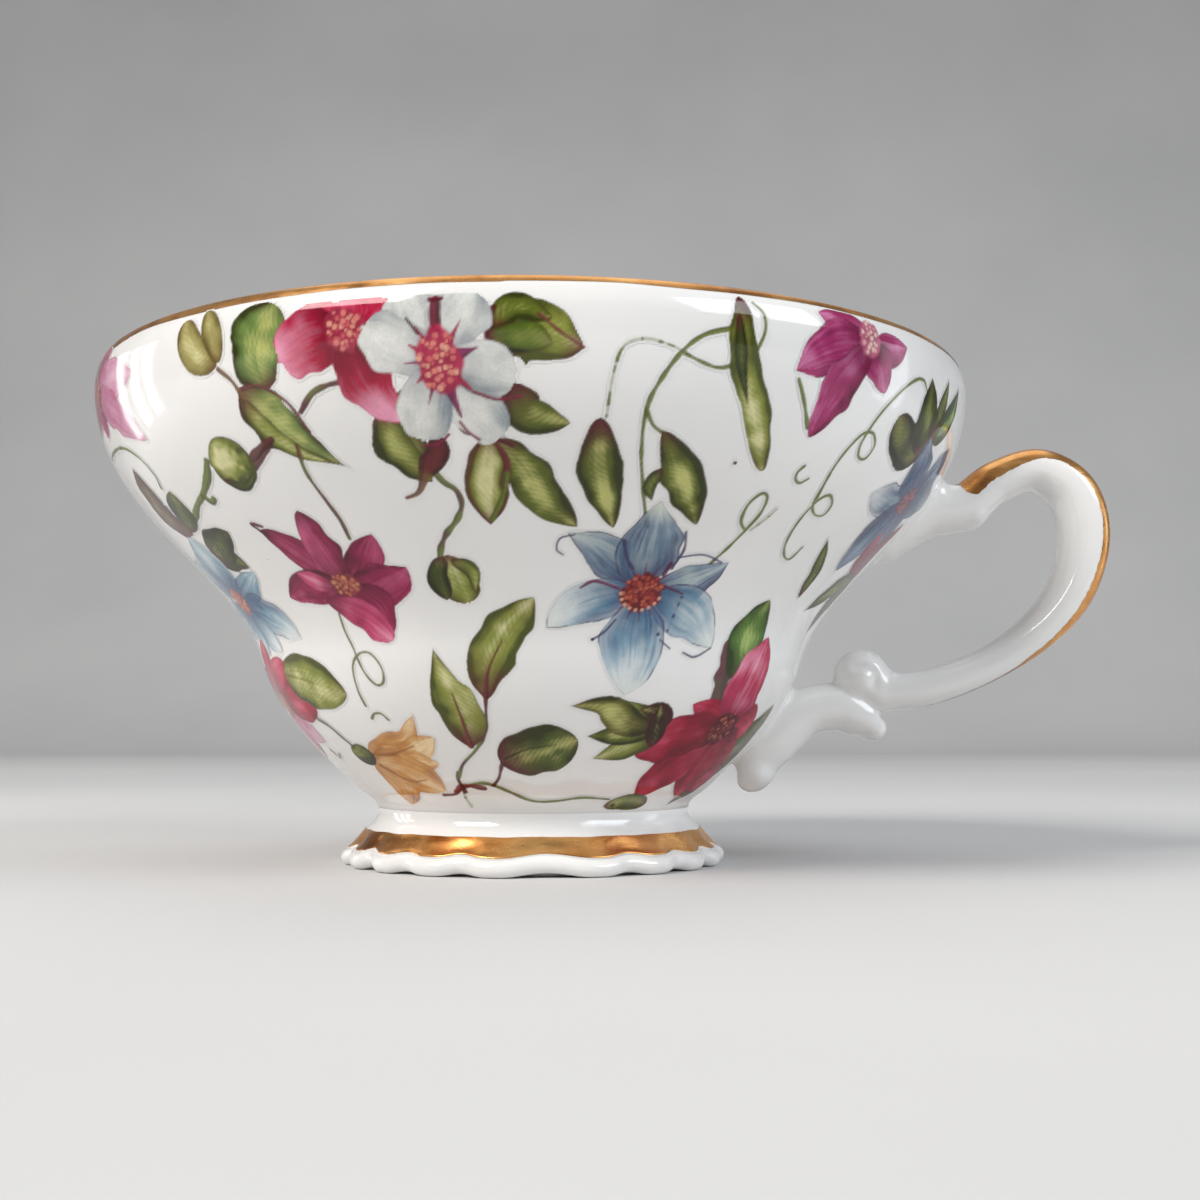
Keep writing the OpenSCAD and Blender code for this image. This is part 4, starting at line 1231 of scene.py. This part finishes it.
def surface_of(axes, field):
    """Surface where a gridded field crosses zero (surface nets): points and quads facing outwards."""
    inside = field < 0
    shape = np.array(field.shape)
    total = np.zeros((*(shape - 1), 3))
    count = np.zeros(shape - 1)
    corners = [(i, j, k) for i in (0, 1) for j in (0, 1) for k in (0, 1)]
    for a in corners:
        for b in corners:
            if sum(b) - sum(a) != 1 or any(q < p for p, q in zip(a, b)):
                continue
            cut_a = tuple(slice(p, n - 1 + p) for p, n in zip(a, shape))
            cut_b = tuple(slice(p, n - 1 + p) for p, n in zip(b, shape))
            fa, fb = field[cut_a], field[cut_b]
            crossing = (fa < 0) != (fb < 0)
            t = np.where(crossing, fa / np.where(crossing, fa - fb, 1), 0)
            for axis in range(3):
                total[..., axis] += np.where(crossing, a[axis] + (b[axis] - a[axis]) * t, 0)
            count += crossing
    active = count > 0
    number = np.full(active.shape, -1)
    number[active] = np.arange(active.sum())
    places = np.argwhere(active) + total[active] / count[active][:, None]
    points = np.array([axis[0] for axis in axes]) + places * CELL
    faces = []
    for axis in range(3):
        u, v = [a for a in range(3) if a != axis]
        low, high = [[slice(0, n) for n in shape] for _ in range(2)]
        low[axis] = slice(0, shape[axis] - 1)
        high[axis] = slice(1, shape[axis])
        for cell in np.argwhere(inside[tuple(low)] != inside[tuple(high)]):
            if cell[u] == 0 or cell[v] == 0:
                continue
            quad = []
            for du, dv in ((1, 0), (0, 0), (0, 1), (1, 1)):
                at = cell.copy()
                at[u] -= du
                at[v] -= dv
                quad.append(number[tuple(at)])
            if inside[tuple(cell)] != (axis == 1):
                quad.reverse()
            faces.append(tuple(quad))
    return points, faces


def relax(points, faces, rounds):
    """Evens out a quad mesh by moving each point towards its neighbours' middle."""
    quads = np.array(faces)
    pairs = np.vstack([quads[:, [side, (side + 1) % 4]] for side in range(4)])
    pairs = np.vstack([pairs, pairs[:, ::-1]])
    degree = np.bincount(pairs[:, 0], minlength=len(points))[:, None]
    for weight in [0.5, -0.51] * rounds:
        columns = points[pairs[:, 1]].T
        total = np.stack([np.bincount(pairs[:, 0], column, len(points)) for column in columns], -1)
        points = points + weight * (total / degree - points)
    return points


def build_handle():
    """The cast handle with its luted roots, one closed surface."""
    points, faces = surface_of(*handle_field())
    points = relax(points, faces, RELAX_ROUNDS)
    return add_piece("handle_porcelain", points, faces, PORCELAIN, points[:, [X, Z]] / 100,
                     ["handle", "upper_luting_slip", "lower_luting_slip"])


def build_handle_gold(handle):
    """The gold stripe over the loop's outer face, laid on the handle's own surface."""
    tree = BVHTree.FromPolygons([v.co for v in handle.data.vertices],
                                [p.vertices for p in handle.data.polygons])
    rows, columns = 150, 25
    # half the stripe's angle about the loop, in degrees, at stations of LOOP
    at, half_angle = zip((2.1, 70), (2.3, 86), (3.4, 84), (4.2, 74), (5, 72), (7.2, 74), (8.4, 66),
                         (9.4, 40), (10.3, 8))
    k = np.linspace(at[0], at[-1], rows)
    path, slope = path_along(LOOP, k)
    reach = np.interp(k, at, half_angle)
    draw = random.Random(11)
    points, uv = [], []
    for i in range(rows):
        waver = draw.uniform(-1, 1)
        for j in range(columns):
            a = math.radians((reach[i] + waver) * (2 * j / (columns - 1) - 1))
            out = Vector((-slope[i, 1] * math.cos(a), math.sin(a), slope[i, 0] * math.cos(a)))
            centre = Vector((path[i, 0], 0, path[i, 1])) * MM
            hit, normal, _, _ = tree.ray_cast(centre, out)
            points.append(np.array(hit + normal * LIFT * MM) / MM)
            uv.append((i / rows, j / columns))
    add_piece("handle_gold", points, grid_faces(rows, columns), GOLD, uv, ["handle_gilding"])


# ---------------------------------------------------------------- room, lights and camera

def build_stage():
    """A pale floor that curves up into a backdrop."""
    recipe = Recipe("pale_floor")
    tone = recipe.ramp(recipe.noise(6, 3), (0.3, (0.60, 0.60, 0.60)), (0.7, (0.66, 0.655, 0.65)))
    recipe.link(tone, recipe.shader, "Base Color")
    set_inputs(recipe.shader, Roughness=0.75)
    front, bend_at, bend_deep, bend_high, flat_share = -1.2, 0.8, 0.6, 1.6, 0.6
    across = np.linspace(-2.5, 2.5, 21)
    run = np.linspace(0, 1, 60)
    bent = np.clip((run - flat_share) / (1 - flat_share), 0, 1) * math.pi / 2
    depth = front + np.minimum(run / flat_share, 1) * (bend_at - front) + bend_deep * np.sin(bent)
    rise = bend_high * (1 - np.cos(bent))
    points = [(x, d, z) for d, z in zip(depth, rise) for x in across]
    floor = new_mesh("floor", points, grid_faces(len(run), len(across)), recipe.material)
    add_object("floor", floor)


def aim(thing, target):
    """Turns a light or camera so that it looks at a point."""
    direction = Vector(target) - thing.location
    thing.rotation_euler = direction.to_track_quat("-Z", "Y").to_euler()


def add_light(name, place, target, size, power, colour=(1, 1, 1)):
    """A rectangular soft light; place, target and size in metres."""
    light = bpy.data.lights.new(name, "AREA")
    light.shape = "RECTANGLE"
    light.size, light.size_y = size
    light.energy = power
    light.color = colour
    thing = add_object(name, light)
    thing.visible_camera = False
    thing.location = place
    aim(thing, target)


def build_lights():
    """Soft lights at the upper left, right and above, and low panes that streak the shoulders."""
    middle = (0, 0, 0.035)
    warm, cool = (1.0, 0.965, 0.92), (0.88, 0.94, 1.0)
    add_light("key", (-0.60, -0.60, 0.72), middle, (0.5, 0.45), 10.2, warm)
    add_light("fill", (0.9, -0.5, 0.62), middle, (0.7, 0.5), 6.8, cool)
    add_light("top", (0.0, 0.25, 0.95), middle, (0.9, 0.9), 2.6)
    panes = [("left_pane_1", -98, 0.27, 0.018, 0.035, warm),
             ("left_pane_2", -105, 0.27, 0.018, 0.035, warm),
             ("left_pane_3", -113, 0.27, 0.018, 0.035, warm),
             ("right_pane", 96, 0.3, 0.06, 0.04, cool)]
    for name, degrees, away, width, power, colour in panes:
        place = around(math.radians(degrees), away, 0.06).tolist()
        add_light(name, place, (0, 0, 0.05), (width, 0.12), power, colour)
    world = bpy.data.worlds.new("studio")
    world.use_nodes = True
    set_inputs(world.node_tree.nodes["Background"], Color=(0.84, 0.85, 0.88, 1), Strength=0.24)
    bpy.context.scene.world = world
    bpy.context.scene.view_settings.view_transform = "Standard"


def build_camera():
    """A camera just above the table, looking slightly up at the cup from the front."""
    camera = bpy.data.cameras.new("camera")
    camera.sensor_width = 36
    camera.lens = 47.64
    camera.clip_start = 0.01
    thing = add_object("camera", camera)
    thing.location = (0.01008, -0.19041, 0.0158)
    yaw, pitch = math.radians(-0.66), math.radians(4.61)
    thing.rotation_euler = (math.pi / 2 + pitch, 0, -yaw)
    bpy.context.scene.camera = thing


build_camera()
build_stage()
build_lights()
build_bowl()
build_foot()
build_foot_gold()
build_rim_gold()
build_handle_gold(build_handle())
build_print()
